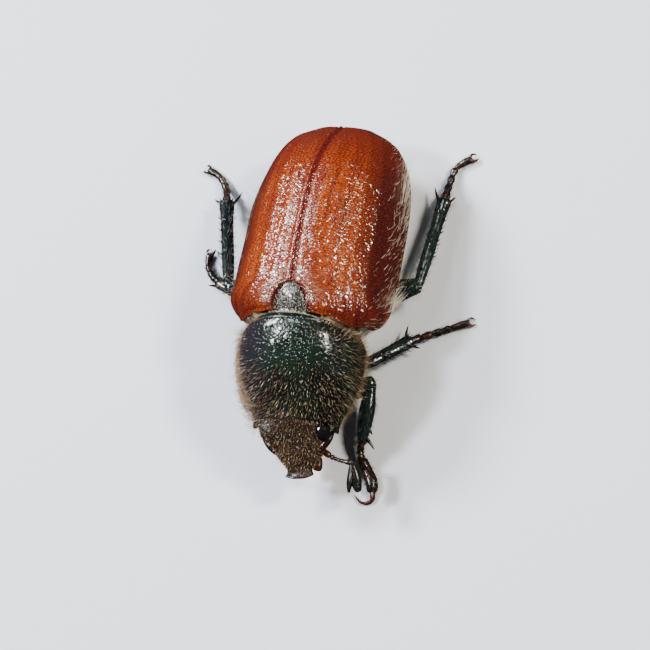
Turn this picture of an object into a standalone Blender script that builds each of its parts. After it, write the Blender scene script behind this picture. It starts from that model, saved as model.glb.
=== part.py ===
"""A leaf chafer, a beetle about 12 mm long, standing on its six feet as in life.

Sizes and places are in millimetres in the beetle's own frame: +Y to its rear, +X to its left, +Z up,
with the floor at Z = 0. The finished objects are in metres, centred over the middle of their own box.
"""

import math

import bmesh
import bpy
from mathutils import Matrix, Vector

MM = 0.001
GAP = 0.1
FINE_GAP = 0.06
UP = Vector((0, 0, 1))

# The wing cases as a dome: half width, ridge height and height of the widest line, from shoulder to tip.
SHELL_FRONT, SHELL_BACK = -0.95, 6.35
SHELL_HALF_WIDTH = [(-0.95, 2.4), (-0.5, 2.7), (0.3, 2.79), (1.8, 2.81), (3.4, 2.76), (4.4, 2.56), (5.1, 2.33),
                    (5.65, 2.03), (6.05, 1.66), (6.35, 1.05)]
SHELL_RIDGE = [(-0.95, 4.8), (-0.4, 4.96), (0.6, 5.02), (2.2, 4.98), (3.2, 4.84), (4.0, 4.62), (4.7, 4.3),
               (5.3, 3.88), (5.85, 3.34), (6.35, 2.66)]
SHELL_WIDEST = [(-0.95, 2.92), (0.4, 2.64), (1.8, 2.45), (3.0, 2.34), (4.6, 2.0), (6.35, 2.02)]
SHELL_POWER = [(-0.95, 2.24), (2.5, 1.84), (6.35, 2.26)]
SHELL_THICKNESS = 0.42
SHELL_TUCK, SHELL_MARGIN_DROP = math.radians(11), 0.36
SHELL_ROWS, SHELL_COLUMNS = 16, 10
SHELL_ROW_CROWDING = 1.25

# The scutellum: the small rounded plate between the shoulders of the wing cases.
SCUTELLUM_HALF_WIDTH, SCUTELLUM_LENGTH = 0.61, 0.97
SCUTELLUM_SINK, SCUTELLUM_THICKNESS = 0.03, 0.42

# The body under the wing cases, in stations along Y.
BELLY_HEIGHT = [(-0.95, 1.18), (0.6, 1.04), (2.5, 1.0), (4.0, 1.16), (5.1, 1.5), (5.9, 1.9)]
THORAX_BACK, ABDOMEN_FRONT, ABDOMEN_BACK = 1.55, 1.65, 5.72
BODY_SIDES = 24
BODY_INSET = 0.07
BELLY_POWER = 2.1
VENTRITES = 5
VENTRITE_GROOVE = 0.05
TAIL_PLATE_CENTRE = Vector((0, 5.42, 2.12))
TAIL_PLATE_RADII = Vector((1.5, 0.55, 1.15))
TAIL_PLATE_ROOM = (4.2, 4.8, 5.3, 5.6, 5.85, 6.05)
TAIL_PLATE_TILT = math.radians(-24)

# The front body (prothorax), whose roof is the pronotum, from its hind edge to its front edge.
COLLAR_BACK, COLLAR_FRONT = -1.05, -4.32
COLLAR_HALF_WIDTH = [(-4.32, 1.42), (-3.9, 1.68), (-3.3, 1.95), (-2.6, 2.14), (-2.0, 2.19), (-1.45, 2.08), (-1.05, 1.72)]
COLLAR_ROOF = [(-4.32, 3.2), (-3.7, 3.8), (-3.0, 4.32), (-2.2, 4.7), (-1.5, 4.86), (-1.05, 4.84)]
COLLAR_WIDEST = [(-4.32, 2.5), (-2.6, 2.72), (-1.05, 2.9)]
COLLAR_BELLY = [(-4.32, 1.62), (-3.0, 1.24), (-1.05, 1.24)]
COLLAR_POWER = 2.15
COLLAR_CORNER_RADIUS = 0.22
COLLAR_RINGS = 11
COLLAR_CORNER = ((1.44, -3.85, 2.56), (1.5, -4.14, 2.42), (1.56, -4.36, 2.34))

# The head, in stations along its own axis from the front edge of the pronotum to the tip of the clypeus.
HEAD_ROOT = Vector((0, -4.2, 3.26))
HEAD_PITCH, HEAD_YAW = math.radians(37), math.radians(5)
HEAD_BACK, HEAD_TIP = -0.55, 2.28
HEAD_HALF_WIDTH = [(-0.55, 0.72), (-0.1, 0.98), (0.4, 1.1), (0.8, 1.12), (1.15, 1.02), (1.5, 0.84), (1.85, 0.62),
                   (2.05, 0.46), (2.16, 0.45), (2.28, 0.5)]
HEAD_CROWN = [(-0.55, -0.14), (0.0, 0.0), (0.6, 0.05), (1.4, 0.0), (1.95, -0.05), (2.12, 0.0), (2.28, 0.12)]
HEAD_DEPTH = [(-0.55, 1.35), (0.0, 1.62), (0.6, 1.5), (1.1, 1.15), (1.5, 0.74), (1.9, 0.46), (2.28, 0.4)]
HEAD_RINGS, HEAD_SIDES, HEAD_POWER = 15, 22, 2.5
EYE_PLACE = (0.76, 0.96, -0.47)
EYE_RADII = Vector((0.36, 0.36, 0.36))

# Limbs: thickness is across the plane in which a leg bends, breadth lies in it. Values run from root to tip.
LEG_SIDES = 10
FEMUR_BREADTH = {"fore": (0.26, 0.36, 0.37, 0.29, 0.21), "middle": (0.26, 0.35, 0.37, 0.31, 0.24),
                 "hind": (0.28, 0.42, 0.46, 0.38, 0.27)}
FEMUR_FLATTENING = 0.78
TIBIA_BREADTH = {"fore": (0.22, 0.27, 0.34, 0.31, 0.26, 0.2), "middle": (0.22, 0.28, 0.27, 0.25, 0.24, 0.26),
                 "hind": (0.22, 0.25, 0.24, 0.23, 0.25, 0.28)}
TIBIA_FLATTENING = 0.86
ROOM_FLATTENING = 0.92
MITRE_REACH = 0.34
TARSUS_SIDES = 7
TARSUS_WAIST = 0.76
EVEN_SPLITS, EVEN_RADII = (0.0, 0.2, 0.38, 0.54, 0.69, 1.0), (0.19, 0.18, 0.18, 0.18, 0.18)
TARSUS_SPLITS = {"fore": (0.0, 0.11, 0.2, 0.28, 0.36, 1.0), "middle": EVEN_SPLITS, "hind": EVEN_SPLITS}
TARSUS_RADII = {"fore": (0.18, 0.18, 0.18, 0.19, 0.225), "middle": EVEN_RADII, "hind": EVEN_RADII}
CLAW_RADIUS, CLAW_TIP, CLAW_SPREAD = 0.12, 0.03, 0.2
SPUR_RADIUS, SPUR_TIP = 0.13, 0.02
COXA_REACH = 0.3
COXA_RADII = {"fore": Vector((0.5, 0.42, 0.42)), "middle": Vector((0.5, 0.4, 0.36)),
              "hind": Vector((0.66, 0.42, 0.36))}

# Each leg by its places: hip, knee, end of the tibia, then the foot's points down to where the claws grow.
LEGS = {
    "left_fore": {"kind": "fore", "hip": (0.72, -2.9, 1.12), "knee": (2.02, -2.36, 1.22), "ankle": (1.78, -4.3, 0.72),
                  "foot": [(1.7, -4.72, 0.42), (1.82, -5.0, 0.3), (2.1, -5.45, 0.22), (2.28, -6.0, 0.2)],
                  "claw": [(2.26, -6.24, 0.15), (1.94, -6.34, 0.11), (1.54, -6.06, 0.08)]},
    "right_fore": {"kind": "fore", "hip": (-0.72, -2.9, 1.12), "knee": (-1.86, -2.6, 1.4), "ankle": (-1.24, -4.0, 0.66),
                   "foot": [(-1.2, -4.34, 0.38), (-1.02, -4.52, 0.26), (-0.72, -4.62, 0.2), (-0.36, -4.6, 0.2)],
                   "claw": [(-0.1, -4.52, 0.16), (0.04, -4.3, 0.11), (-0.06, -4.06, 0.08)]},
    "left_middle": {"kind": "middle", "hip": (0.6, -0.42, 0.96), "knee": (1.62, -1.78, 1.26),
                    "ankle": (2.98, -0.6, 0.6), "foot": [(3.55, -0.25, 0.26), (4.2, 0.03, 0.19), (4.84, 0.28, 0.18)]},
    "right_middle": {"kind": "middle", "hip": (-0.6, -0.42, 0.96), "knee": (-2.2, -0.12, 1.12), "ankle": (-4.5, 1.12, 0.5),
                     "foot": [(-4.98, 1.48, 0.22), (-5.19, 1.88, 0.18), (-5.17, 2.28, 0.18)]},
    "left_hind": {"kind": "hind", "hip": (0.92, 0.62, 0.86), "knee": (3.18, 1.16, 1.3), "ankle": (3.46, 4.5, 0.72),
                  "foot": [(3.4, 5.2, 0.3), (3.5, 5.8, 0.18), (4.04, 6.2, 0.18)]},
    "right_hind": {"kind": "hind", "hip": (-0.92, 0.62, 0.86), "knee": (-3.52, 0.6, 1.95),
                   "ankle": (-4.66, 4.06, 0.68), "foot": [(-4.96, 4.7, 0.28), (-5.3, 5.12, 0.18), (-5.78, 5.36, 0.18)]},
}
FORE_TEETH = ((0.16, 0.56), (0.5, 0.34))
SPURS = {"middle": ((1, 0.9, 0.34), (-1, 0.9, 0.56)), "hind": ((-1, 0.45, 0.74), (1, 0.8, 0.3))}
SPINES = (0.45, 0.7)
CLAW_LENGTH = 0.4

# The feelers: a jointed stalk that ends in a club of three leaves.
FEELER_SPLITS, FEELER_RADII = (0.0, 0.4, 0.56, 0.67, 0.78, 0.89, 1.0), (0.17, 0.16, 0.14, 0.14, 0.14, 0.14)
FEELER_WAIST = 0.8
PALP_RADIUS = 0.14
FEELERS = {
    "left": {"stalk": [(0.98, -5.05, 1.88), (1.22, -5.2, 1.84), (1.47, -5.29, 1.8), (1.76, -5.33, 1.76)],
             "leaves": (0.2, -1.06, -0.3), "spread_axis": (0.36, -0.25, 0.9)},
    "right": {"stalk": [(-0.9, -4.92, 1.78), (-1.04, -4.72, 1.5), (-0.96, -4.52, 1.24), (-0.7, -4.44, 1.04)],
              "leaves": (0.7, -0.3, -0.1), "spread_axis": (0.2, 0.1, 1)},
}
LEAF_LENGTH, LEAF_HALF_BREADTH, LEAF_HALF_THICKNESS = 1.02, 0.2, 0.11
LEAF_SPREAD = math.radians(13)
LEAF_FAN = (-1.1, 0.0, 0.5)
CLUB_KNOB = 0.16

SHELL_RED = ("wing_case", (0.34, 0.075, 0.018), 0.3, 0.0)
BODY_BLACK = ("body_plate", (0.022, 0.028, 0.024), 0.38, 0.1)
LEG_BLACK = ("leg", (0.012, 0.016, 0.017), 0.25, 0.1)
EYE_BLACK = ("eye", (0.006, 0.006, 0.008), 0.08, 0.0)
MOUTH_BROWN = ("mouthpart", (0.14, 0.035, 0.015), 0.3, 0.0)


def between(stations, at):
    """The value at one place on a smooth line through (place, value) stations."""
    places = [place for place, _ in stations]
    values = [value for _, value in stations]
    last = len(places) - 1
    slopes = []
    for i in range(last + 1):
        before, after = max(i - 1, 0), min(i + 1, last)
        slopes.append((values[after] - values[before]) / (places[after] - places[before]))
    at = min(max(at, places[0]), places[-1])
    i = max(k for k in range(last) if places[k] <= at)
    step = places[i + 1] - places[i]
    t = (at - places[i]) / step
    rise = values[i] * (2 * t**3 - 3 * t**2 + 1) + values[i + 1] * (3 * t**2 - 2 * t**3)
    bend = slopes[i] * (t**3 - 2 * t**2 + t) + slopes[i + 1] * (t**3 - t**2)
    return rise + bend * step


def material_of(look):
    name, colour, roughness, metallic = look
    material = bpy.data.materials.get(name) or bpy.data.materials.new(name)
    material.use_nodes = True
    shader = material.node_tree.nodes["Principled BSDF"]
    shader.inputs["Base Color"].default_value = (*colour, 1)
    shader.inputs["Roughness"].default_value = roughness
    shader.inputs["Metallic"].default_value = metallic
    return material


def object_from(bm, name, look):
    """An object made from a bmesh in millimetres, its faces turned outwards."""
    bmesh.ops.recalc_face_normals(bm, faces=bm.faces)
    bmesh.ops.scale(bm, vec=(MM, MM, MM), verts=bm.verts)
    mesh = bpy.data.meshes.new(name)
    bm.to_mesh(mesh)
    bm.free()
    mesh.shade_smooth()
    mesh.set_sharp_from_angle(angle=math.radians(50))
    mesh.materials.append(material_of(look))
    made = bpy.data.objects.new(name, mesh)
    bpy.context.scene.collection.objects.link(made)
    return made


def ring_points(half_width, rise, drop, sides, power, belly_power):
    """A rounded section about its widest line: (across, height) pairs, going once round."""
    points = []
    for k in range(sides):
        angle = 2 * math.pi * k / sides
        c, s = math.cos(angle), math.sin(angle)
        reach, n = (rise, power) if s >= 0 else (drop, belly_power)
        across = math.copysign(abs(c) ** (2 / n), c) * half_width
        points.append((across, math.copysign(abs(s) ** (2 / n), s) * reach))
    return points


def skin(bm, rings):
    """Joins rings of points into one closed surface, with flat ends."""
    loops = []
    for points in rings:
        verts = bmesh.ops.create_circle(bm, segments=len(points), radius=1)["verts"]
        for vert, point in zip(verts, points):
            vert.co = point
        loops.append(verts)
    for before, after in zip(loops, loops[1:]):
        edges = {edge for verts in (before, after) for vert in verts for edge in vert.link_edges
                 if edge.other_vert(vert) in verts}
        bmesh.ops.bridge_loops(bm, edges=list(edges))
    for end in (loops[0], loops[-1]):
        bmesh.ops.contextual_create(bm, geom=end)


def applied(made):
    """The object with its modifiers worked into its mesh."""
    graph = bpy.context.evaluated_depsgraph_get()
    mesh = bpy.data.meshes.new_from_object(made.evaluated_get(graph))
    made.modifiers.clear()
    made.data = mesh
    return made


def keep_largest(made):
    """Leaves only the object's largest closed surface."""
    bm = bmesh.new()
    bm.from_mesh(made.data)
    left, shells = set(bm.verts), []
    while left:
        shell, edge_of_it = set(), [left.pop()]
        while edge_of_it:
            vert = edge_of_it.pop()
            shell.add(vert)
            near = {edge.other_vert(vert) for edge in vert.link_edges} & left
            left -= near
            edge_of_it.extend(near)
        shells.append(shell)
    shells.sort(key=lambda shell: sum(face.calc_area() for face in {f for v in shell for f in v.link_faces}))
    for shell in shells[:-1]:
        bmesh.ops.delete(bm, geom=list(shell), context="VERTS")
    bm.to_mesh(made.data)
    bm.free()
    return made


def combine(made, others, operation):
    """Fuses the other objects into this one, or cuts them out of it, and removes them."""
    group = bpy.data.collections.new("group")
    for other in others:
        group.objects.link(other)
    boolean = made.modifiers.new(operation, "BOOLEAN")
    boolean.operation = operation
    boolean.operand_type = "COLLECTION"
    boolean.collection = group
    boolean.solver = "MANIFOLD"
    bpy.context.view_layer.update()
    keep_largest(applied(made))
    for other in others:
        bpy.data.objects.remove(other)
    bpy.data.collections.remove(group)
    return made


def ellipsoid(name, centre, radii, look, turn=None, segments=14, rings=10):
    bm = bmesh.new()
    bmesh.ops.create_uvsphere(bm, u_segments=segments, v_segments=rings, radius=1)
    turned = Matrix.Translation(centre) @ (turn or Matrix.Identity(4)) @ Matrix.Diagonal((*radii, 1))
    bmesh.ops.transform(bm, matrix=turned, verts=bm.verts)
    return object_from(bm, name, look)


def sweep(name, centres, breadths, flattening, flat_axis, look, sides=LEG_SIDES):
    """A limb through centres, broad by breadths and flattened along flat_axis."""
    bm = bmesh.new()
    rings = []
    last = len(centres) - 1
    for i, centre in enumerate(centres):
        along = (centres[min(i + 1, last)] - centres[max(i - 1, 0)]).normalized()
        thin = (flat_axis - along * flat_axis.dot(along)).normalized()
        broad = along.cross(thin) * breadths[i]
        thin *= breadths[i] * flattening
        angles = [2 * math.pi * k / sides for k in range(sides)]
        rings.append([centre + broad * math.cos(angle) + thin * math.sin(angle) for angle in angles])
    skin(bm, rings)
    return object_from(bm, name, look)


def along_line(start, end, count):
    return [start.lerp(end, i / (count - 1)) for i in range(count)]


def shell_height(x, y):
    """The height of the wing cases' outer surface over a point of the plan."""
    half_width, widest, power = between(SHELL_HALF_WIDTH, y), between(SHELL_WIDEST, y), between(SHELL_POWER, y)
    share = min(abs(x) / half_width, 1)
    return widest + (between(SHELL_RIDGE, y) - widest) * (1 - share**power) ** (1 / power)


def plate(name, shape, rows, columns, thickness, look):
    """A curved plate: shape(u, v), each from 0 to 1, gives its outer surface, and it thickens inwards."""
    bm = bmesh.new()
    bmesh.ops.create_grid(bm, x_segments=rows, y_segments=columns, size=0.5)
    for vert in bm.verts:
        vert.co = shape(vert.co.x + 0.5, vert.co.y + 0.5)
    bmesh.ops.recalc_face_normals(bm, faces=bm.faces)
    if sum(face.normal.z for face in bm.faces) < 0:
        bmesh.ops.reverse_faces(bm, faces=bm.faces)
    bmesh.ops.scale(bm, vec=(MM, MM, MM), verts=bm.verts)
    mesh = bpy.data.meshes.new(name)
    bm.to_mesh(mesh)
    bm.free()
    mesh.materials.append(material_of(look))
    made = bpy.data.objects.new(name, mesh)
    bpy.context.scene.collection.objects.link(made)
    solidify = made.modifiers.new("Thickness", "SOLIDIFY")
    solidify.thickness = thickness * MM
    solidify.offset = -1
    solidify.use_even_offset = True
    bpy.context.view_layer.update()
    applied(made)
    made.data.shade_smooth()
    made.data.set_sharp_from_angle(angle=math.radians(50))
    return made


def wing_case(side, sign):
    """One elytron, from the suture down to its tucked outer edge."""

    def shape(u, v):
        y = SHELL_FRONT + (SHELL_BACK - SHELL_FRONT) * (1 - (1 - u) ** SHELL_ROW_CROWDING)
        angle = math.pi / 2 - v * (math.pi / 2 + SHELL_TUCK)
        widest, power = between(SHELL_WIDEST, y), between(SHELL_POWER, y)
        x = GAP / 2 + (between(SHELL_HALF_WIDTH, y) - GAP / 2) * abs(math.cos(angle)) ** (2 / power)
        if angle > 0:
            z = widest + (between(SHELL_RIDGE, y) - widest) * math.sin(angle) ** (2 / power)
        else:
            z = widest + angle / SHELL_TUCK * SHELL_MARGIN_DROP
        return Vector((sign * x, y, z))

    made = plate(f"elytron_{side}", shape, SHELL_ROWS, SHELL_COLUMNS, SHELL_THICKNESS, SHELL_RED)
    trimmed(made, (sign * GAP / 2, 0, 0), Vector((-sign, 0, 0)))
    return combine(made, [scutellum_outline("notch", GAP, -1, 1.5)], "DIFFERENCE")


def scutellum_outline(name, margin, low, high):
    """The scutellum's outline as an upright block, grown by a margin, from low to high about its top."""
    bm = bmesh.new()
    front = SHELL_FRONT - 2 * margin
    half_width, back = SCUTELLUM_HALF_WIDTH + margin, SHELL_FRONT + SCUTELLUM_LENGTH + margin
    steps = 10
    points = [(-half_width, front)]
    for i in range(steps + 1):
        angle = math.pi * i / steps
        points.append((-half_width * math.cos(angle), SHELL_FRONT + (back - SHELL_FRONT) * math.sin(angle) ** 0.8))
    points.append((half_width, front))
    top = shell_height(0, 0)
    skin(bm, [[Vector((x, y, top + height)) for x, y in points] for height in (low, high)])
    return object_from(bm, name, BODY_BLACK)


def scutellum():
    """The plate between the shoulders, cut from a slab that follows the wing cases' surface."""

    def shape(u, v):
        x = (u - 0.5) * 2.4 * SCUTELLUM_HALF_WIDTH
        y = SHELL_FRONT + (v - 0.02) * 1.2 * SCUTELLUM_LENGTH
        return Vector((x, y, shell_height(x, max(y, SHELL_FRONT)) - SCUTELLUM_SINK))

    made = plate("scutellum", shape, 8, 6, SCUTELLUM_THICKNESS, BODY_BLACK)
    return combine(made, [scutellum_outline("outline", 0, -1, 1)], "INTERSECT")


def slant(stations, y):
    """How much longer a wall's thickness is when measured square to Y, where the line slopes."""
    slope = (between(stations, y + 0.05) - between(stations, y - 0.05)) / 0.1
    return math.hypot(1, slope)


def body_ring(y, pinch=0.0):
    """A section of the body that lies under the wing cases."""
    inset = SHELL_THICKNESS + GAP + pinch
    widest = between(SHELL_WIDEST, y) - 0.1
    half_width = max(between(SHELL_HALF_WIDTH, y) - (inset + BODY_INSET) * slant(SHELL_HALF_WIDTH, y), 0.5)
    rise = max(between(SHELL_RIDGE, y) - inset * slant(SHELL_RIDGE, y) - widest, 0.1)
    drop = max(widest - between(BELLY_HEIGHT, y) - pinch, 0.2)
    points = ring_points(half_width, rise, drop, BODY_SIDES, between(SHELL_POWER, y), BELLY_POWER)
    return [Vector((x, y, widest + z)) for x, z in points]


def hind_body():
    """The thorax that carries the middle and hind legs, the abdomen with its rings, and the tail plate."""
    bm = bmesh.new()
    stations = [SHELL_FRONT, -0.5, 0, 0.5, 1.05, THORAX_BACK]
    skin(bm, [body_ring(y) for y in stations])
    thorax = object_from(bm, "thorax", BODY_BLACK)

    bm = bmesh.new()
    length = (ABDOMEN_BACK - ABDOMEN_FRONT) / VENTRITES
    rings = []
    for i in range(VENTRITES):
        start = ABDOMEN_FRONT + i * length
        rings.append(body_ring(start, VENTRITE_GROOVE if i else 0))
        rings.append(body_ring(start + 0.2 * length))
        rings.append(body_ring(start + 0.9 * length))
    rings.append(body_ring(ABDOMEN_BACK, VENTRITE_GROOVE))
    skin(bm, rings)
    abdomen = object_from(bm, "abdomen", BODY_BLACK)

    tilt = Matrix.Rotation(TAIL_PLATE_TILT, 4, "X")
    grown = TAIL_PLATE_RADII + Vector((GAP, GAP, GAP))
    combine(abdomen, [ellipsoid("seat", TAIL_PLATE_CENTRE, grown, BODY_BLACK, tilt)], "DIFFERENCE")
    plate_body = ellipsoid("pygidium", TAIL_PLATE_CENTRE, TAIL_PLATE_RADII, BODY_BLACK, tilt)
    bm = bmesh.new()
    skin(bm, [body_ring(y, VENTRITE_GROOVE) for y in TAIL_PLATE_ROOM])
    combine(plate_body, [object_from(bm, "room", BODY_BLACK)], "INTERSECT")
    return thorax, abdomen


def head_frame():
    """The head's axes: across, up from its crown, and along to the clypeus."""
    turn = Matrix.Rotation(HEAD_YAW, 3, "Z") @ Matrix.Rotation(HEAD_PITCH, 3, "X")
    return turn @ Vector((1, 0, 0)), turn @ UP, turn @ Vector((0, -1, 0))


def head_point(station, across, height):
    side, up, along = head_frame()
    return HEAD_ROOT + along * station + side * across + up * height


def head_rings(grow=0.0):
    rings = []
    for i in range(HEAD_RINGS):
        station = HEAD_BACK + (HEAD_TIP - HEAD_BACK) * i / (HEAD_RINGS - 1)
        depth = between(HEAD_DEPTH, station) / 2
        middle = between(HEAD_CROWN, station) - depth
        half_width = between(HEAD_HALF_WIDTH, station)
        points = ring_points(half_width + grow, depth + grow, depth + grow, HEAD_SIDES, HEAD_POWER, HEAD_POWER)
        rings.append([head_point(station - (grow if i == 0 else 0), x, middle + z) for x, z in points])
    return rings


def head():
    """The head with its long clypeus, whose lip turns up, and the eyes set in its sides."""
    bm = bmesh.new()
    skin(bm, head_rings())
    made = object_from(bm, "head", BODY_BLACK)
    station, across, height = EYE_PLACE
    for side, sign in (("left", 1), ("right", -1)):
        place = head_point(station, sign * across, height)
        ellipsoid(f"eye_{side}", place, EYE_RADII, EYE_BLACK)
    return combine(made, eye_seats(), "DIFFERENCE")


def eye_seats():
    """Cutters that keep other parts clear of the eyes."""
    station, across, height = EYE_PLACE
    places = [head_point(station, sign * across, height) for sign in (1, -1)]
    return [ellipsoid("seat", place, EYE_RADII + Vector((FINE_GAP,) * 3), EYE_BLACK) for place in places]


def front_body():
    """The prothorax, hollowed in front where the head sits in it."""
    bm = bmesh.new()
    rings = []
    for i in range(COLLAR_RINGS):
        y = COLLAR_BACK + (COLLAR_FRONT - COLLAR_BACK) * i / (COLLAR_RINGS - 1)
        widest = between(COLLAR_WIDEST, y)
        rise, drop = between(COLLAR_ROOF, y) - widest, widest - between(COLLAR_BELLY, y)
        points = ring_points(between(COLLAR_HALF_WIDTH, y), rise, drop, BODY_SIDES, COLLAR_POWER, BELLY_POWER)
        rings.append([Vector((x, y, widest + z)) for x, z in points])
    skin(bm, rings)
    made = object_from(bm, "prothorax", BODY_BLACK)
    bm = bmesh.new()
    skin(bm, head_rings(FINE_GAP + 0.02))
    combine(made, [object_from(bm, "seat", BODY_BLACK)], "DIFFERENCE")
    corners = []
    for sign in (1, -1):
        points = [Vector((sign * x, y, z)) for x, y, z in COLLAR_CORNER]
        corners.append(thorn("corner", points, COLLAR_CORNER_RADIUS, SPUR_TIP))
    combine(made, corners, "UNION")
    return combine(made, eye_seats(), "DIFFERENCE")


def thorn(name, points, radius, tip_radius, steps=3, sides=6):
    """A tapered spur or claw through points, from root to tip."""
    place = way_along(points)
    shares = [i / steps for i in range(steps + 1)]
    centres = [place(share) for share in shares]
    radii = [radius + (tip_radius - radius) * share for share in shares]
    flat_axis = (points[-1] - points[0]).orthogonal()
    return sweep(name, centres, radii, 1, flat_axis, LEG_BLACK, sides)


def trimmed(made, point, normal):
    """The object without what lies past a plane, closed where it was cut."""
    bm = bmesh.new()
    bm.from_mesh(made.data)
    geometry = bm.verts[:] + bm.edges[:] + bm.faces[:]
    bmesh.ops.bisect_plane(bm, geom=geometry, plane_co=Vector(point) * MM, plane_no=normal, clear_outer=True)
    bmesh.ops.holes_fill(bm, edges=[edge for edge in bm.edges if edge.is_boundary])
    bmesh.ops.recalc_face_normals(bm, faces=bm.faces)
    bm.to_mesh(made.data)
    bm.free()
    return made


def way_along(points):
    """A smooth line through points, as a function from 0 at the first to 1 at the last."""
    walked = [0.0]
    for a, b in zip(points, points[1:]):
        walked.append(walked[-1] + (b - a).length)
    stations = [[(w / walked[-1], point[i]) for w, point in zip(walked, points)] for i in range(3)]
    return lambda share: Vector([between(line, share) for line in stations])


def beaded(points, splits, widths, waist):
    """Centres and radii of a jointed stalk through points, wide in each bead and narrow between beads.

    splits holds the shares of its length at which beads meet, and widths the radius of each bead.
    """
    place = way_along(points)
    centres, radii = [], []
    for start, end, width in zip(splits, splits[1:], widths):
        for share, swell in ((0.0, waist), (0.35, 0.94), (0.8, 1.0)):
            centres.append(place(start + (end - start) * share))
            radii.append(width * swell)
    centres.append(points[-1])
    radii.append(widths[-1] * waist)
    return centres, radii


def leg(name, plan, own_body, bodies):
    """One leg: the coxa seated in the body, then femur, tibia with its spurs, and foot with its claws."""
    kind = plan["kind"]
    hip, knee, ankle = Vector(plan["hip"]), Vector(plan["knee"]), Vector(plan["ankle"])
    foot = [Vector(point) for point in plan["foot"]]
    thigh, shin, toe = (knee - hip).normalized(), (ankle - knee).normalized(), (foot[0] - ankle).normalized()
    flat_axis = thigh.cross(shin).normalized()
    knee_plane, ankle_plane = (thigh + shin).normalized(), (shin + toe).normalized()

    radii = COXA_RADII[kind]
    seat = ellipsoid("seat", hip, radii + Vector((GAP,) * 3), LEG_BLACK)
    combine(own_body, [seat], "DIFFERENCE")
    root = hip + thigh * COXA_REACH
    trimmed(ellipsoid(f"coxa_{name}", hip, radii, LEG_BLACK), root, thigh)

    def femur(made_name, grow):
        breadths = [breadth + grow for breadth in FEMUR_BREADTH[kind]]
        centres = along_line(root + thigh * GAP, knee, len(breadths)) + [knee + thigh * MITRE_REACH]
        flattening = ROOM_FLATTENING if grow else FEMUR_FLATTENING
        made = sweep(made_name, centres, breadths + breadths[-1:], flattening, flat_axis, LEG_BLACK)
        return trimmed(made, knee + knee_plane * (grow - GAP / 2), knee_plane)

    femur(f"femur_{name}", 0)
    for near in bodies:
        combine(near, [femur("room", GAP)], "DIFFERENCE")

    breadths = TIBIA_BREADTH[kind]
    centres = [knee - shin * MITRE_REACH, *along_line(knee, ankle, len(breadths)), ankle + shin * MITRE_REACH]
    breadths = [breadths[0], *breadths, breadths[-1]]
    tibia = sweep(f"tibia_{name}", centres, breadths, TIBIA_FLATTENING, flat_axis, LEG_BLACK)
    trimmed(tibia, knee + knee_plane * (GAP / 2), -knee_plane)
    trimmed(tibia, ankle - ankle_plane * (GAP / 2), ankle_plane)
    combine(tibia, spurs(kind, knee, ankle, shin, shin.cross(flat_axis), breadths[-1]), "UNION")

    splits, widths = TARSUS_SPLITS[kind], TARSUS_RADII[kind]
    centres, radii = beaded([ankle] + foot, splits, widths, TARSUS_WAIST)
    tarsus = sweep(f"tarsus_{name}", [ankle - toe * 0.1] + centres, [radii[0] * 0.9] + radii, 1, UP, LEG_BLACK,
                   TARSUS_SIDES)
    trimmed(tarsus, ankle + ankle_plane * (GAP / 2), -ankle_plane)
    combine(tarsus, claws(foot, [Vector(point) for point in plan.get("claw", [])]), "UNION")
    return trimmed(tarsus, (0, 0, 0), -UP)


def claws(foot, long_claw):
    """The two claws at the end of a foot; on a forefoot one of them is long and curls round."""
    forward = (foot[-1] - foot[-2]).normalized()
    across = forward.cross(UP).normalized()
    root = foot[-1] - forward * 0.12
    low = UP * (foot[-1].z - CLAW_TIP - 0.02)
    made = []
    for sign in (1, -1):
        start = root + across * (sign * 0.06)
        tip = root + forward * CLAW_LENGTH + across * (sign * CLAW_SPREAD) - low
        points = [start, start.lerp(tip, 0.5) + across * (sign * 0.07) + UP * 0.05, tip]
        if long_claw:
            points = [root, *long_claw] if sign == 1 else [root, long_claw[0], root.lerp(long_claw[1], 0.8) - low]
        made.append(thorn("claw", points, CLAW_RADIUS, CLAW_TIP, 2 * len(points) - 3))
    return made


def spurs(kind, knee, ankle, shin, outer, breadth):
    """The teeth of a fore tibia, or the spurs and side spines of a middle or hind one."""
    if kind == "fore":
        starts = [(ankle - shin * back + outer * (breadth * 0.6), outer + shin * 0.9, length)
                  for back, length in FORE_TEETH]
    else:
        starts = [(ankle - shin * 0.18 + outer * (side * breadth * 0.75), outer * (side * slant) + shin * 0.75, length)
                  for side, slant, length in SPURS[kind]]
        starts += [(knee.lerp(ankle, share) + outer * (breadth * 0.4), outer + shin * 0.5, 0.42) for share in SPINES]
    return [thorn("spur", [root, root + direction.normalized() * length], SPUR_RADIUS, SPUR_TIP)
            for root, direction, length in starts]


def leaf(root, towards, thin, length):
    """One leaf of a feeler's club, a flat blade that is widest past its middle."""
    stations = ((0.0, 0.5), (0.2, 0.8), (0.55, 1.0), (0.85, 0.8), (1.0, 0.3))
    centres = [root + towards * (length * share) for share, _ in stations]
    breadths = [LEAF_HALF_BREADTH * width for _, width in stations]
    return sweep("leaf", centres, breadths, LEAF_HALF_THICKNESS / LEAF_HALF_BREADTH, thin, LEG_BLACK, sides=8)


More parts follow.
